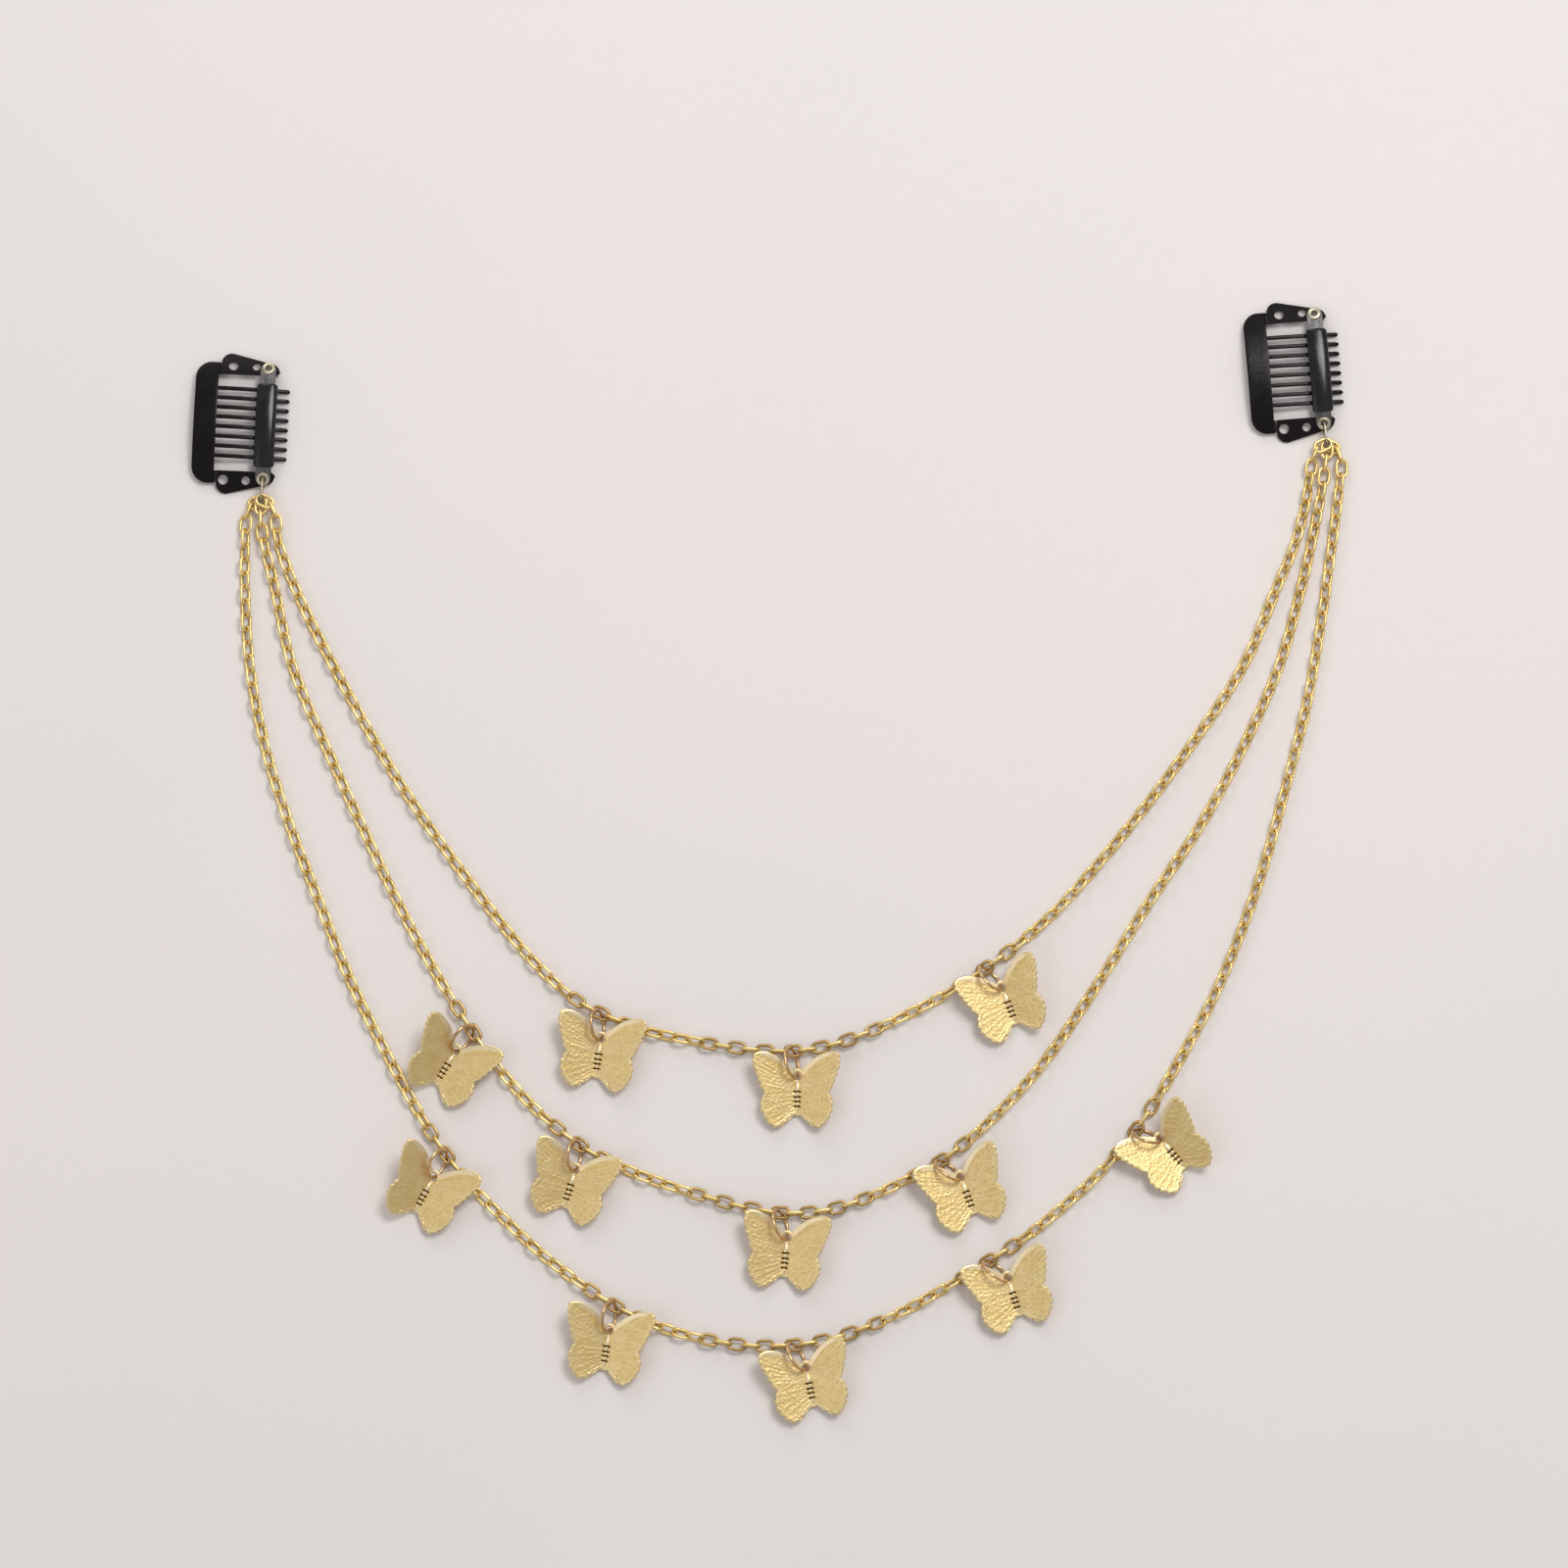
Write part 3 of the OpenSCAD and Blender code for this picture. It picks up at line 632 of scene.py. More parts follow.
def wing_form():
    """The right wing before it is lifted, and its marks: rows from the head round to the tail, columns
    out over the top, round the rim and back underneath. A point lies on the straight line from the root
    to the edge at its share v, on a plane that is crowned a little and raised by the relief."""
    u, edge, root, total = wing_edges()
    top = (np.arange(WING_TOP) / (WING_TOP - 1)) ** 1.15
    foot = 1 - (np.arange(WING_FOOT) + 1) / WING_FOOT
    v = np.concatenate([top, np.ones(WING_RIM), foot])[None]
    around = np.pi / 2 - np.pi * (np.arange(WING_RIM) + 1) / (WING_RIM + 1)
    out = np.concatenate([np.zeros(WING_TOP), np.cos(around), np.zeros(WING_FOOT)])[None]
    level = np.concatenate([np.ones(WING_TOP), np.sin(around), -np.ones(WING_FOOT)])[None]
    half = SHEET / 2
    reach = np.linalg.norm(edge - root, axis=1)[:, None]
    outward_way = (edge - root) / np.maximum(reach, 0.02)
    pull = np.minimum(half, reach * 0.45)
    flat = root[:, None] + (edge - root)[:, None] * v[..., None]
    flat = flat - outward_way[:, None] * (pull * np.minimum(v * 2, 1) * (1 - out))[..., None]
    x, y = flat[..., 0], flat[..., 1]
    spread = total * (0.22 + 0.78 * v)
    height, reads = wing_relief(u[:, None], v, spread, x, y, *edge_distance(x, y, edge, u))
    z = half * level + height * np.clip(level, 0, 1) + height * BACK_RELIEF * (level < -0.99)
    z = z + CROWN * np.sin(np.pi * np.clip(x / CROWN_SPAN, 0, 1)) - WING_DROP
    return np.stack([x, y, z], -1), np.where(level > -0.5, reads, PLAIN_READS)


def wing_surface(form, side, lift):
    """One wing: the form lifted about the body, and mirrored for the left side."""
    points, reads = form
    grid = turned(points, -lift, "y")
    grid[..., 0] *= side
    return zipped(grid, 0.5 + 0.5 * side, reads)


def body_surface():
    """The body: circles along Y whose radius follows the body's line and narrows at each slot."""
    y = np.linspace(BODY_LINE[0][0], BODY_LINE[-1][0], 76)
    table = smooth_route(BODY_LINE, 8)[::-1]
    radius = np.interp(y, table[:, 0], table[:, 1])
    slot = np.exp(-(((y[:, None] - BODY_SLOTS) / BODY_SLOT) ** 4)).max(1)
    tight = radius * (1 - BODY_CUT * slot)
    section = circle_section(1, RING_SIDES)[None] * tight[:, None, None]
    grid = carried(y[:, None] * Y_WAY, X_WAY, Z_WAY, section)
    # At each slot the mark paints the body near black, a painted shadow
    return shell(grid, 0.5, (BODY_READS * (1 - 2 * slot))[:, None])


def head_surface():
    """The head: a rounded bar section carried round the hole."""
    angle = np.linspace(0, 2 * np.pi, 48, endpoint=False)[:, None]
    middle = (HEAD_DISC + HEAD_HOLE) / 4
    out = np.cos(angle) * X_WAY + np.sin(angle) * Y_WAY
    section = squared_section((HEAD_DISC - HEAD_HOLE) / 4, HEAD_HEIGHT / 2, power=3.2, count=14)
    # The head reads raised, so it is painted lighter, partly as a painted highlight
    return shell(carried(middle * out, out, Z_WAY, section), 0.5, 0.75, wrap_rows=True)


def butterfly_surface(form, row, place):
    """A butterfly: two wings, body and head, placed with the hole on its jump ring."""
    _, _, swing, heading, lift_left, lift_right = row
    wings = [wing_surface(form, 1, lift_right), wing_surface(form, -1, lift_left)]
    points, quads, triangles, marks = joined([*wings, body_surface(), head_surface()])
    along, across = ring_ways()
    turn = np.radians(HEAD_TURN)
    hole = RING_RADIUS * (along * (1 + np.cos(turn)) - across * np.sin(turn))
    points = turned(points, BODY_PITCH, "x")
    points = turned(points, swing - heading, "z") + hole
    points = turned(points, -swing, "z") + place
    return points, quads, triangles, marks


# Clips

def bowed(u, v, height):
    """Points of a clip from U, V and a height over the plate's middle, on its bow about an axis along U."""
    u, v, height = np.broadcast_arrays(u, v, height)
    angle = np.arcsin(v / BOW_RADIUS)
    radius = BOW_RADIUS + height
    return np.stack([u, radius * np.sin(angle), BOW_Z + radius * np.cos(angle)], -1)


def placed_on_clip(points, side):
    """Clip points turned and moved to where the clip lies."""
    (x, y), turn = CLIPS[side]
    return turned(points, turn, "z") + np.array([x, y, 0.0])


def back_plate_surface():
    """The comb's back: rows along V, and round each row the top, front edge, underside and back edge.
    The back edge draws in over a quarter circle at both corners."""
    v = BACK_V * np.sin(np.linspace(-1, 1, 97) * np.pi / 2)
    over = np.maximum(np.abs(v) - (BACK_V - BACK_CORNER), 0)
    low = BACK_U + BACK_CORNER - np.sqrt(np.maximum(BACK_CORNER**2 - over**2, 0))
    high = HINGE_U - SLIT / 2
    section = np.roll(squared_section(1, 1, power=7, count=28), 7, axis=0)
    past = np.maximum(np.abs(v) - BACK_V + BACK_END, 0) / BACK_ROUND
    thin = np.sqrt(np.clip(1 - past**2, 0.05, 1))
    u = ((low + high) / 2)[:, None] + ((high - low) / 2)[:, None] * section[:, 0]
    height = PLATE / 2 * thin[:, None] * section[:, 1]
    rubbed = np.clip((np.abs(section[:, 0]) - 0.85) / 0.15, 0, 1)
    return zipped(bowed(u, v[:, None], height), 0.0, rubbed)


def tooth_surface(v):
    """A tooth: a rounded bar section carried along a line that drops by the square of its length, drawn
    in to a point at the tip."""
    start = HINGE_U - SLIT / 2 - TOOTH_ROOT
    t = 1 - (1 - np.linspace(0, 1, 44)) ** 1.3
    u = start + (TIP_U - start) * t
    top = BOW_Z + np.sqrt(BOW_RADIUS**2 - v * v)
    z = top - (top - TIP_Z) * t * t
    steep = -2 * (top - TIP_Z) * t / (TIP_U - start)
    normal = np.column_stack([-steep, 0 * u, 1 + 0 * u]) / np.sqrt(1 + steep**2)[:, None]
    left = TIP_U - u
    narrow = np.sqrt(np.clip(1 - (1 - np.minimum(left / TIP_NARROW, 1)) ** 2, 0.03, 1))
    thin = np.sqrt(np.clip(left / TIP_THIN, 0.05, 1))
    full = smooth_step(TOOTH_ROOT, TOOTH_FULL, u - start)
    wide = TOOTH_WIDTH / 2 * narrow * (0.9 + 0.1 * full)
    thick = PLATE / 2 * thin * (0.86 + 0.14 * full)
    section = squared_section(1, 1, power=3.4, count=16)
    sizes = np.column_stack([wide, thick])[:, None]
    grid = carried(np.column_stack([u, v + 0 * u, z]), Y_WAY, normal, section * sizes)
    return shell(grid, relief=np.clip(np.abs(section[:, 0]) * 1.6 - 0.9, 0, 1))


def bend_surface(end):
    """The bend beside an arm, a bar along the hinge's line that closes the slit. It is round about that line
    on the arm's side, so that it turns there without touching, and drawn out into the plate behind."""
    v = end * np.linspace(*BEND_V, 6)[:, None]
    section = circle_section(BEND_RADIUS, 20)
    section[section[:, 0] < 0, 0] *= BEND_DRAW
    return shell(carried(HINGE_U * X_WAY + v * Y_WAY + HINGE_Z * Z_WAY, X_WAY, Z_WAY, section))


def comb_surface(side):
    """Back plate, teeth and the two bends of a clip."""
    places = (np.arange(TOOTH_COUNT) - (TOOTH_COUNT - 1) / 2) * TOOTH_PITCH
    pieces = [back_plate_surface(), *map(tooth_surface, places), bend_surface(1), bend_surface(-1)]
    points, quads, triangles, marks = joined(pieces)
    return placed_on_clip(points, side), quads, triangles, marks


def sleeve_surface(side):
    """The rubber sleeve, a tube closed at both ends: rows run out over the outside from end to end and
    back inside along the bar. Its section is a superellipse, drawn in at the ends."""
    t = np.linspace(-1, 1, 49)
    shape = np.sign(t) * (1 - (1 - np.abs(t)) ** 1.7)
    half = SLEEVE_LENGTH / 2
    angle = (SLEEVE_SHIFT + shape * half) / BOW_RADIUS
    ends = np.maximum(np.abs(shape) * half - (half - SLEEVE_END), 0) / SLEEVE_END
    drawn = 1 - SLEEVE_DRAW * (1 - np.sqrt(np.clip(1 - ends**2, 0, 1)))
    outer = squared_section(SLEEVE_WIDTH / 2, SLEEVE_HEIGHT / 2, power=2.3, count=40)
    outer = outer * drawn[:, None, None]
    hole = squared_section(BAR_WIDTH / 2 + GAP, PLATE / 2 + GAP, power=6, count=40)
    section = np.concatenate([outer, np.broadcast_to(hole, outer.shape)])
    angle = np.concatenate([angle, angle[::-1]])[:, None]
    radius = BOW_RADIUS + PLATE + GAP + section[..., 1]
    u = section[..., 0]
    grid = np.stack([u, radius * np.sin(angle), BOW_Z + radius * np.cos(angle)], -1)
    return shell(placed_on_clip(grid, side), wrap_rows=True)


# Materials

def tinted(colour, times, plus=0.0):
    """A colour with its parts multiplied, by one number or by three, and raised by a number."""
    return tuple(float(c) for c in np.array(tuple(colour)) * times + plus)


class Finish:
    """A new material with short ways to add its nodes."""

    def __init__(self, name):
        self.material = bpy.data.materials.new(name)
        self.material.use_nodes = True
        self.tree = self.material.node_tree
        self.shader = self.tree.nodes["Principled BSDF"]
        self.coordinates = self.add("ShaderNodeTexCoord").outputs["Object"]

    def add(self, kind, **settings):
        """Adds a node; a setting whose name is an input goes on the input, any other on the node."""
        node = self.tree.nodes.new(kind)
        for name, value in settings.items():
            socket = node.inputs.get(name.replace("_", " ").title())
            if socket is None:
                setattr(node, name, value)
            else:
                self.feed(socket, value)
        return node

    def feed(self, socket, value):
        """Gives a socket an output, a number or a colour."""
        if hasattr(value, "is_output"):
            self.tree.links.new(value, socket)
        elif isinstance(value, (int, float)):
            socket.default_value = value
        else:
            socket.default_value = (*value, 1)

    def noise(self, scale, detail=3.0, roughness=0.55, stretch=None):
        """Noise over the object's own coordinates, in cells per metre."""
        vector = self.coordinates
        if stretch is not None:
            mapping = self.add("ShaderNodeMapping", vector=vector)
            mapping.inputs["Scale"].default_value = stretch
            vector = mapping.outputs["Vector"]
        node = self.add("ShaderNodeTexNoise", scale=scale, detail=detail, roughness=roughness, vector=vector)
        return node.outputs["Fac"]

    def cells(self, scale):
        """Cells over the object's own coordinates: distance to the nearest middle."""
        node = self.add("ShaderNodeTexVoronoi", scale=scale, vector=self.coordinates)
        return node.outputs["Distance"]

    def mark(self, name):
        """A value that the mesh carries for each point."""
        return self.add("ShaderNodeAttribute", attribute_name=name).outputs["Fac"]

    def ramp(self, value, *stops):
        """Colours by value, between two stops; each is a place and a colour."""
        node = self.add("ShaderNodeValToRGB", fac=value)
        for element, (place, colour) in zip(node.color_ramp.elements, stops):
            element.position = place
            element.color = (*colour, 1)
        return node.outputs["Color"]

    def spread(self, value, low, high, to_low, to_high):
        """A value's range moved to another, and held inside it."""
        ends = {"from_min": low, "from_max": high, "to_min": to_low, "to_max": to_high}
        return self.add("ShaderNodeMapRange", value=value, **ends).outputs["Result"]

    def uneven(self, scale, low, high, detail=4):
        """A roughness that drifts: noise with its middle range moved to another."""
        return self.spread(self.noise(scale, detail), 0.3, 0.7, low, high)

    def mix(self, share, first, second):
        """Two colours mixed by a share, each of them a socket or a colour."""
        node = self.add("ShaderNodeMix", data_type="RGBA")
        sockets = [s for s in node.inputs if s.enabled]
        for socket, value in zip(sockets, (share, first, second)):
            self.feed(socket, value)
        return next(o for o in node.outputs if o.enabled)

    def maths(self, operation, first, second):
        """One sum of two values, each of them a socket or a number."""
        node = self.add("ShaderNodeMath", operation=operation)
        for socket, value in zip(node.inputs, (first, second)):
            self.feed(socket, value)
        return node.outputs[0]

    def blend(self, first, share, second):
        """A share of one value and the rest of another."""
        rest = self.maths("MULTIPLY", second, 1 - share)
        return self.maths("ADD", self.maths("MULTIPLY", first, share), rest)

    def surface(self, colour, roughness, height, depth, bevel=0.0, metal=0.0, glint=0.5):
        """Joins colour, roughness and bump to the shader, and sets how much metal and glint it has."""
        inputs = self.shader.inputs
        self.feed(inputs["Base Color"], colour)
        self.feed(inputs["Roughness"], roughness)
        bump = self.add("ShaderNodeBump", distance=depth, strength=1.0, height=height)
        if bevel:
            edge = self.add("ShaderNodeBevel", samples=4, radius=bevel)
            self.feed(bump.inputs["Normal"], edge.outputs["Normal"])
        self.feed(inputs["Normal"], bump.outputs["Normal"])
        inputs["Metallic"].default_value = metal
        inputs["Specular IOR Level"].default_value = glint
        return self.material


def chain_gold(settings):
    """Yellow gold wire: each link a little lighter or darker, and brown towards its inside, partly tarnish
    and partly painted shade; links that lie face up are painted brown all round, a painted dark reflection.
    """
    f = Finish("chain_gold")
    tone = f.blend(f.mark("tone"), 0.5, f.noise(260, 4))
    gold = f.ramp(tone, (0.25, tinted(settings.gold, (0.86, 0.80, 0.66))), (0.75, settings.gold))
    # Brown towards the wire's inside: partly tarnish, partly painted shade between the links. Face-up links
    # get the brown all round, a painted dark reflection
    inside = f.spread(f.mark("relief"), -0.5, 0.45, 0.95, 0.0)
    colour = f.mix(inside, gold, (0.30, 0.17, 0.06))
    roughness = f.uneven(900, 0.28, 0.45)
    return f.surface(colour, roughness, f.noise(2600), FAINT, metal=1.0)


def ring_gold(settings):
    """Browner gold wire of the jump rings, duller in patches."""
    f = Finish("ring_gold")
    tone = f.blend(f.mark("tone"), 0.4, f.noise(300))
    deep = tinted(settings.ring_gold, (0.72, 0.66, 0.58))
    colour = f.ramp(tone, (0.25, deep), (0.75, settings.ring_gold))
    roughness = f.uneven(1100, 0.16, 0.36)
    return f.surface(colour, roughness, f.noise(3200), FAINT, metal=1.0)


def wing_gold(settings):
    """Matte pale gold sheet: a fine etched lace of cells, brighter raised lines, partly polished and partly
    a painted highlight, and sunk slots painted near black as painted shadow.
    """
    f = Finish("wing_gold")
    relief = f.mark("relief")
    texture = f.blend(f.cells(1500), 0.75, f.cells(3300))
    etched = f.ramp(texture, (0.06, (0.60, 0.43, 0.20)), (0.48, settings.wing_gold))
    patches = f.spread(f.noise(420, 4), 0.35, 0.65, 0.0, 0.6)
    mottled = f.mix(patches, etched, tinted(settings.wing_gold, (0.86, 0.82, 0.62)))
    # Raised lines in the lighter gold: partly polished metal, partly a painted highlight
    bright = f.mix(f.spread(relief, 0.35, 0.9, 0.0, 0.9), mottled, settings.strip_gold)
    # Near black in the slots: painted shadow
    colour = f.mix(f.spread(relief, -0.1, -0.5, 0.0, 0.96), bright, (0.06, 0.03, 0.015))
    rough = f.spread(texture, 0.1, 0.5, 0.58, 0.46)
    roughness = f.maths("SUBTRACT", rough, f.spread(relief, 0.3, 0.9, 0.0, 0.08))
    keep = f.spread(relief, 0.45, 0.85, 1.0, 0.12)
    return f.surface(colour, roughness, f.maths("MULTIPLY", texture, keep), ETCHED, metal=1.0)


def black_enamel(settings):
    """Black baked paint with a faint orange-peel surface and paler dust."""
    f = Finish("black_enamel")
    dust = f.spread(f.noise(1500, 5), 0.62, 0.8, 0.0, 0.35)
    paint = f.ramp(f.noise(90), (0.35, settings.enamel), (0.7, tinted(settings.enamel, 1.5)))
    colour = f.mix(dust, paint, tinted(settings.enamel, 2.6, 0.01))
    roughness = f.uneven(420, 0.24, 0.36)
    return f.surface(colour, roughness, f.noise(1300, 2), SOFT, bevel=0.00014, glint=0.13)


def comb_enamel(settings):
    """The same paint on the comb, which has rounded edges of its own, paler where it is rubbed."""
    f = Finish("comb_enamel")
    rubbed = f.maths("MULTIPLY", f.mark("relief"), f.spread(f.noise(1400, 5), 0.45, 0.75, 0.0, 0.7))
    colour = f.mix(rubbed, settings.enamel, tinted(settings.enamel, 2.2, 0.008))
    roughness = f.uneven(420, 0.20, 0.34)
    return f.surface(colour, roughness, f.noise(1300, 2), SOFT, glint=0.13)


def sleeve_rubber(settings):
    """Black rubber tube: a dense fine grain, a little greyer in patches."""
    f = Finish("sleeve_rubber")
    grey = tinted(settings.rubber, 2.0, 0.004)
    colour = f.ramp(f.noise(240, 4), (0.35, settings.rubber), (0.7, grey))
    roughness = f.uneven(800, 0.15, 0.22)
    return f.surface(colour, roughness, f.noise(2400), FAINT, glint=0.4)


def bar_steel():
    """Steel strip with a grain rolled along its length."""
    f = Finish("bar_steel")
    grain = f.noise(500, 5, 0.6, stretch=(6, 0.6, 1))
    colour = f.ramp(grain, (0.3, (0.09, 0.088, 0.09)), (0.7, (0.20, 0.195, 0.20)))
    roughness = f.spread(grain, 0.3, 0.7, 0.26, 0.42)
    return f.surface(colour, roughness, grain, FAINT, bevel=0.00012, metal=1.0)


def eyelet_brass(settings):
    """Pale plated brass of the eyelets and end rings, dulled in patches."""
    f = Finish("eyelet_brass")
    dull = tinted(settings.pale_brass, (0.72, 0.66, 0.56))
    colour = f.ramp(f.noise(700, 4), (0.3, dull), (0.65, settings.pale_brass))
    roughness = f.uneven(1500, 0.26, 0.42)
    return f.surface(colour, roughness, f.noise(2600, 2), FAINT, bevel=0.00006, metal=1.0)


def table_paper(settings):
    """Pale table: a faint warm and cool drift and a very fine tooth."""
    f = Finish("table_paper")
    cool = tinted(settings.table, (0.975, 0.985, 0.99))
    colour = f.ramp(f.noise(4, 2), (0.35, settings.table), (0.65, cool))
    return f.surface(colour, f.uneven(300, 0.55, 0.65, 3), f.noise(1800), FAINT)


# Settings

def colour_setting(name, description, default):
    """A colour that a user can change."""
    return bpy.props.FloatVectorProperty(
        name=name, description=description, default=default, subtype="COLOR", size=3, min=0, max=1
    )


class ChainSettings(bpy.types.PropertyGroup):
    """Settings of the chains and the jump rings."""

    gold: colour_setting("Chain gold", "Colour of the chains", (0.975, 0.765, 0.345))
    ring_gold: colour_setting("Ring gold", "Colour of the jump rings", (0.74, 0.50, 0.27))
    wire_steps: bpy.props.IntProperty(
        name="Steps round a link", description="Sections along the wire of one link", default=40,
        min=20, max=44,
    )
    wire_sides: bpy.props.IntProperty(
        name="Sides of the wire", description="Sides of the round wire of a link", default=12,
        min=8, max=12,
    )


class ButterflySettings(bpy.types.PropertyGroup):
    """Settings of the butterflies."""

    wing_gold: colour_setting("Wing gold", "Colour of the etched wings", (0.89, 0.69, 0.33))
    # Lighter gold of the raised lines: partly polished metal, partly a painted highlight
    strip_gold: colour_setting("Strip gold", "Colour of the raised lines", (0.95, 0.79, 0.51))


class ClipSettings(bpy.types.PropertyGroup):
    """Settings of the two comb clips."""

    enamel: colour_setting("Enamel", "Colour of the painted plates", (0.007, 0.005, 0.006))
    rubber: colour_setting("Rubber", "Colour of the sleeves", (0.004, 0.0035, 0.004))
    pale_brass: colour_setting("Pale brass", "Colour of the eyelets and end rings", (0.56, 0.52, 0.42))


class StageSettings(bpy.types.PropertyGroup):
    """Settings of the table, the light and the camera."""

    table: colour_setting("Table", "Colour of the table", (0.80, 0.755, 0.735))
    table_size: bpy.props.FloatProperty(
        name="Table size", description="Width of the table", default=3.0, min=1.0, max=6.0,
        unit="LENGTH",
    )
    lens: bpy.props.FloatProperty(
        name="Lens", description="Focal length of the camera in millimetres", default=200.0, min=50.0,
        max=250.0,
    )
    elevation: bpy.props.FloatProperty(
        name="Elevation", description="Height of the camera above the horizon",
        default=float(np.radians(82.0)), min=0.8, max=1.57, unit="ROTATION",
    )
    key_power: bpy.props.FloatProperty(
        name="Key light", description="Power of the large lamp at the upper right", default=11.5,
        min=0.0, max=100.0, unit="POWER",
    )


# Stage

def add_table(settings):
    """The table, a flat grid just below the part."""
    line = np.linspace(-0.5, 0.5, TABLE_POINTS) * settings.table_size
    x, y = np.meshgrid(line, line, indexing="ij")
    points = np.stack([x, y, np.full_like(x, TABLE_Z)], -1).reshape(-1, 3)
    mesh = bpy.data.meshes.new("table")
    quads = grid_quads(TABLE_POINTS, TABLE_POINTS, False, False)
    mesh.from_pydata(points.tolist(), [], quads.tolist())
    mesh.materials.append(table_paper(settings))
    table = new_object("table", mesh)


def add_lamp(name, place, size, power, colour):
    """A square area lamp that looks at the part."""
    lamp = bpy.data.lights.new(name, "AREA")
    lamp.shape = "SQUARE"
    lamp.size = size
    lamp.energy = power
    lamp.color = colour
    lamp_object = new_object(name, lamp)
    lamp_object.location = place
    way = Vector(AIM) - Vector(place)
    lamp_object.rotation_euler = way.to_track_quat("-Z", "Y").to_euler()


def add_world():
    """An even pale sky, and colours shown as they are."""
    world = bpy.data.worlds.new("studio")
    world.use_nodes = True
    background = world.node_tree.nodes["Background"]
    background.inputs["Color"].default_value = (*SKY, 1)
    background.inputs["Strength"].default_value = SKY_STRENGTH
    bpy.context.scene.world = world
    bpy.context.scene.view_settings.view_transform = "Standard"


def add_camera(settings):
    """A long lens that looks down at the part from the photo's angle."""
    camera = bpy.data.cameras.new("camera")
    camera.lens = settings.lens
    camera.sensor_width = SENSOR
    camera.clip_start = 0.01
    camera.clip_end = 20
    camera_object = new_object("camera", camera)
    back = Vector((0, -np.cos(settings.elevation), np.sin(settings.elevation)))
    camera_object.location = Vector(AIM) + back * (VIEW_WIDTH * camera.lens / SENSOR)
    camera_object.rotation_euler = (-back).to_track_quat("-Z", "Y").to_euler()
    bpy.context.scene.camera = camera_object


# Operators

class HAIRCHAIN_OT_chains(bpy.types.Operator):
    """Makes the links of the three chains"""

    bl_idname = "hairchain.chains"
    bl_label = "Chains"

    def execute(self, context):
        settings = context.scene.hair_chain
        gold = chain_gold(settings)
        for c, name in enumerate(CHAIN_NAMES):
            surface = chain_surface(c, settings.wire_steps, settings.wire_sides)
            add_piece(f"{name}_links", surface, gold, [name])
        return {"FINISHED"}


class HAIRCHAIN_OT_rings(bpy.types.Operator):
    """Makes the jump rings of the butterflies"""

    bl_idname = "hairchain.rings"
    bl_label = "Jump rings"

    def execute(self, context):
        gold = ring_gold(context.scene.hair_chain)
        for number, row, place in charms():
            surface = jump_ring_surface(row, place, number)
            node = f"ring_{number:02d}"
            add_piece(f"jump_{node}", surface, gold, [node])
        return {"FINISHED"}


class HAIRCHAIN_OT_butterflies(bpy.types.Operator):
    """Makes the stamped butterflies"""

    bl_idname = "hairchain.butterflies"
    bl_label = "Butterflies"

    def execute(self, context):
        gold = wing_gold(context.scene.hair_butterflies)
        form = wing_form()
        for number, row, place in charms():
            node = f"butterfly_{number:02d}"
            surface = butterfly_surface(form, row, place)
            add_piece(f"{node}_sheet", surface, gold, [node])
        return {"FINISHED"}


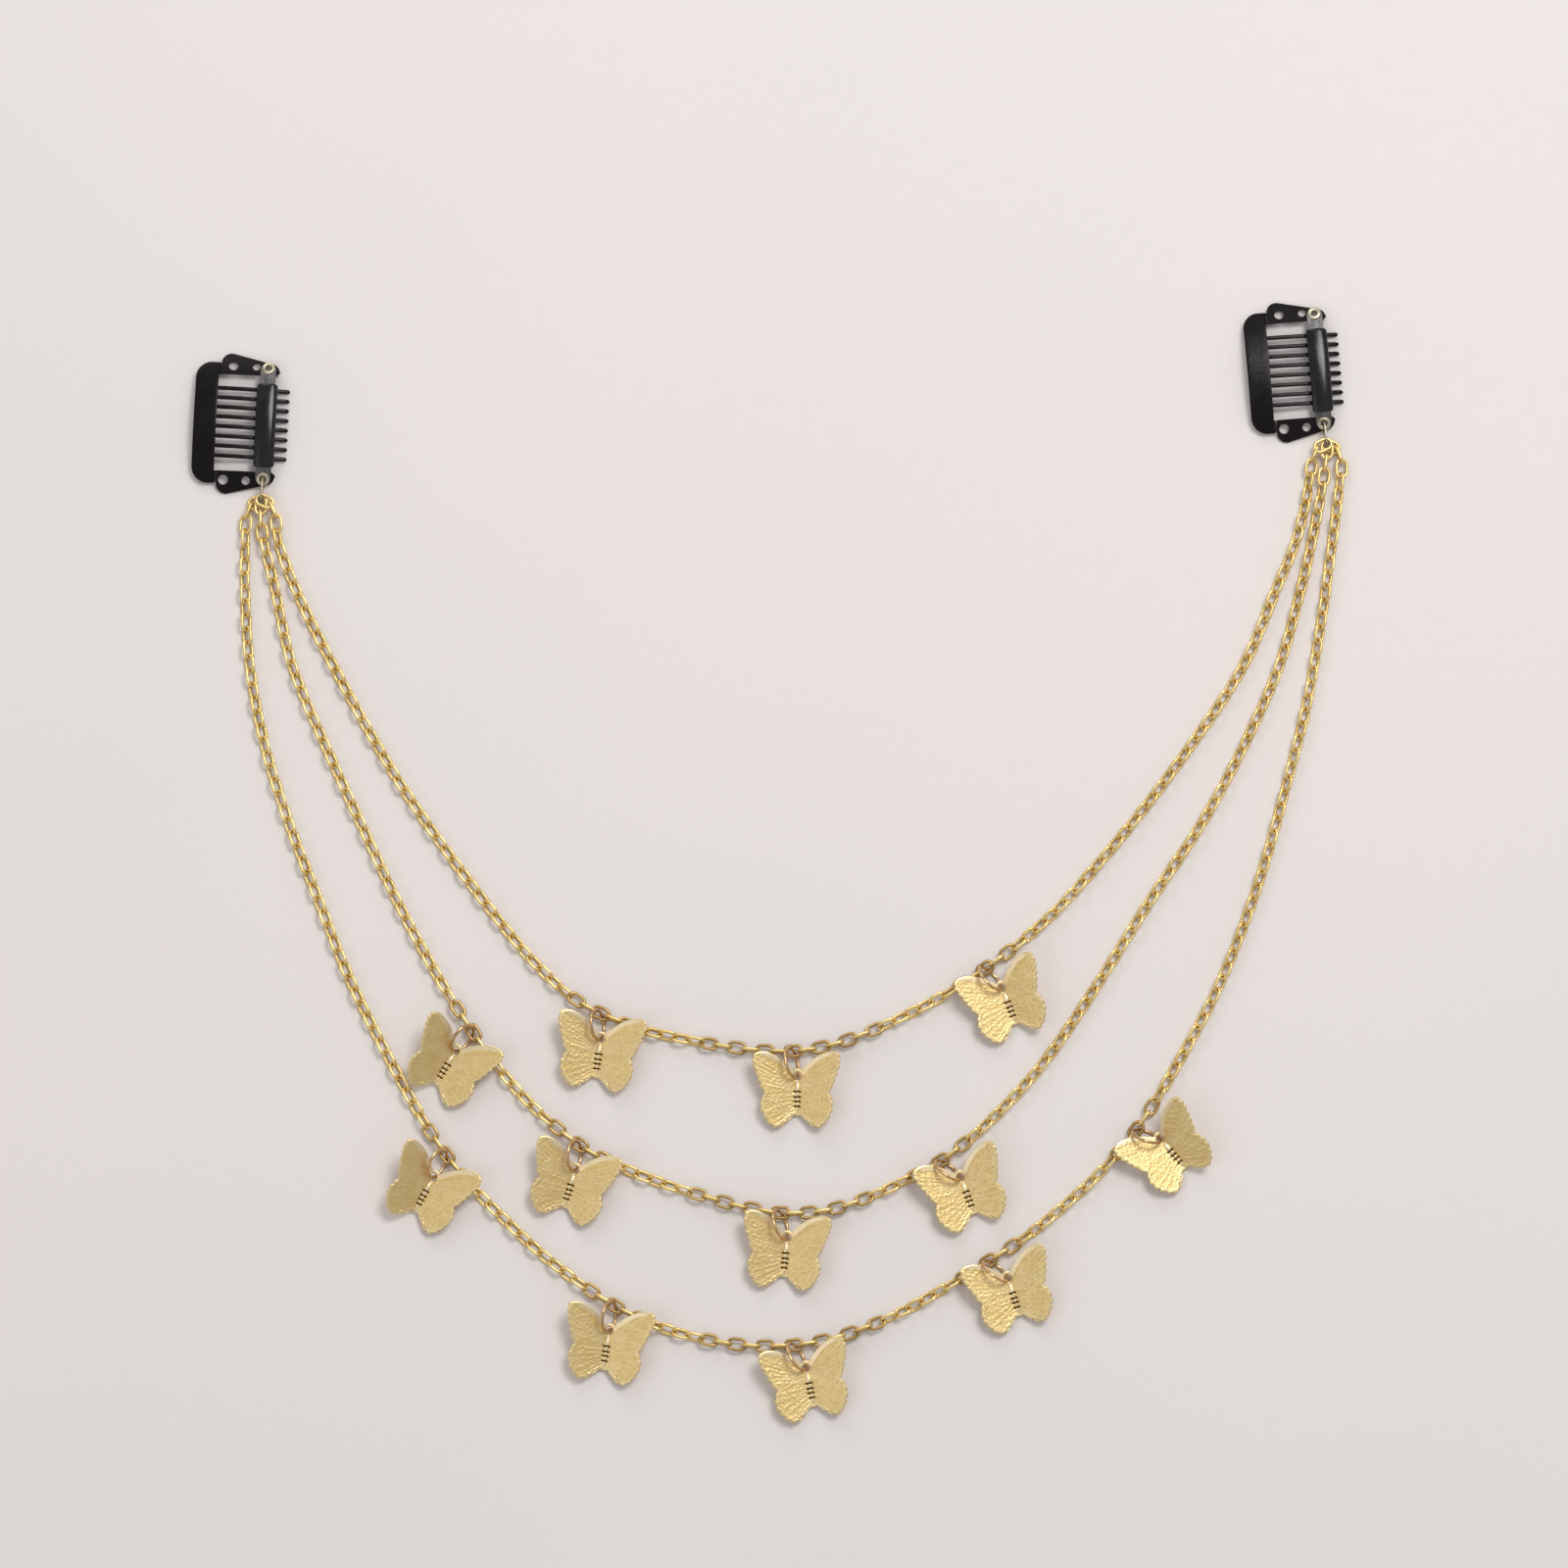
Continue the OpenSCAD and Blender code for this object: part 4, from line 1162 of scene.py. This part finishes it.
class HAIRCHAIN_OT_clips(bpy.types.Operator):
    """Makes the combs, sleeves and end rings, and finishes the clips' own solids"""

    bl_idname = "hairchain.clips"
    bl_label = "Comb clips"

    def execute(self, context):
        settings = context.scene.hair_clips
        paint = comb_enamel(settings)
        rubber = sleeve_rubber(settings)
        brass = eyelet_brass(settings)
        enamel = black_enamel(settings)
        steel = bar_steel()
        finishes = {"frame": enamel, "bar": steel, "eyelet_top": brass, "eyelet_bottom": brass}
        for side in CLIPS:
            comb = f"{side}_comb"
            sleeve = f"{side}_sleeve"
            ring = f"{side}_end_ring"
            add_piece(f"{comb}_teeth", comb_surface(side), paint, [comb], comb)
            add_piece(f"{sleeve}_tube", sleeve_surface(side), rubber, [sleeve])
            add_piece(f"{ring}_wire", end_ring_surface(side), brass, [ring])
            for part, material in finishes.items():
                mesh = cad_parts[f"{side}_{part}"].data
                mesh.materials.clear()
                mesh.materials.append(material)
        return {"FINISHED"}


class HAIRCHAIN_OT_stage(bpy.types.Operator):
    """Makes the table, the light and the camera"""

    bl_idname = "hairchain.stage"
    bl_label = "Stage"

    def execute(self, context):
        settings = context.scene.hair_stage
        add_table(settings)
        for name, place, size, share, colour in LAMPS:
            add_lamp(name, place, size, settings.key_power * share, colour)
        add_world()
        add_camera(settings)
        return {"FINISHED"}


OPERATORS = (
    HAIRCHAIN_OT_stage, HAIRCHAIN_OT_chains, HAIRCHAIN_OT_rings, HAIRCHAIN_OT_butterflies,
    HAIRCHAIN_OT_clips,
)


class HAIRCHAIN_PT_panel(bpy.types.Panel):
    """Lists the pieces and their settings"""

    bl_idname = "HAIRCHAIN_PT_panel"
    bl_label = "Butterfly hair chain"
    bl_space_type = "VIEW_3D"
    bl_region_type = "UI"
    bl_category = "Hair chain"

    def draw(self, context):
        for operator in OPERATORS:
            self.layout.operator(operator.bl_idname)
        for name in SETTINGS:
            group = getattr(context.scene, name)
            for setting in group.__annotations__:
                self.layout.prop(group, setting)


SETTINGS = {
    "hair_chain": ChainSettings,
    "hair_butterflies": ButterflySettings,
    "hair_clips": ClipSettings,
    "hair_stage": StageSettings,
}


def register():
    """Registers the classes and puts the settings on the scene."""
    for kind in (*SETTINGS.values(), *OPERATORS, HAIRCHAIN_PT_panel):
        bpy.utils.register_class(kind)
    for name, kind in SETTINGS.items():
        setattr(bpy.types.Scene, name, bpy.props.PointerProperty(type=kind))


def unregister():
    """Takes away what register added."""
    for name in SETTINGS:
        delattr(bpy.types.Scene, name)
    for kind in (HAIRCHAIN_PT_panel, *reversed(OPERATORS), *reversed(SETTINGS.values())):
        bpy.utils.unregister_class(kind)


def main():
    """Makes everything in order."""
    register()
    bpy.ops.hairchain.stage()
    bpy.ops.hairchain.chains()
    bpy.ops.hairchain.rings()
    bpy.ops.hairchain.butterflies()
    bpy.ops.hairchain.clips()


if __name__ == "__main__":
    main()
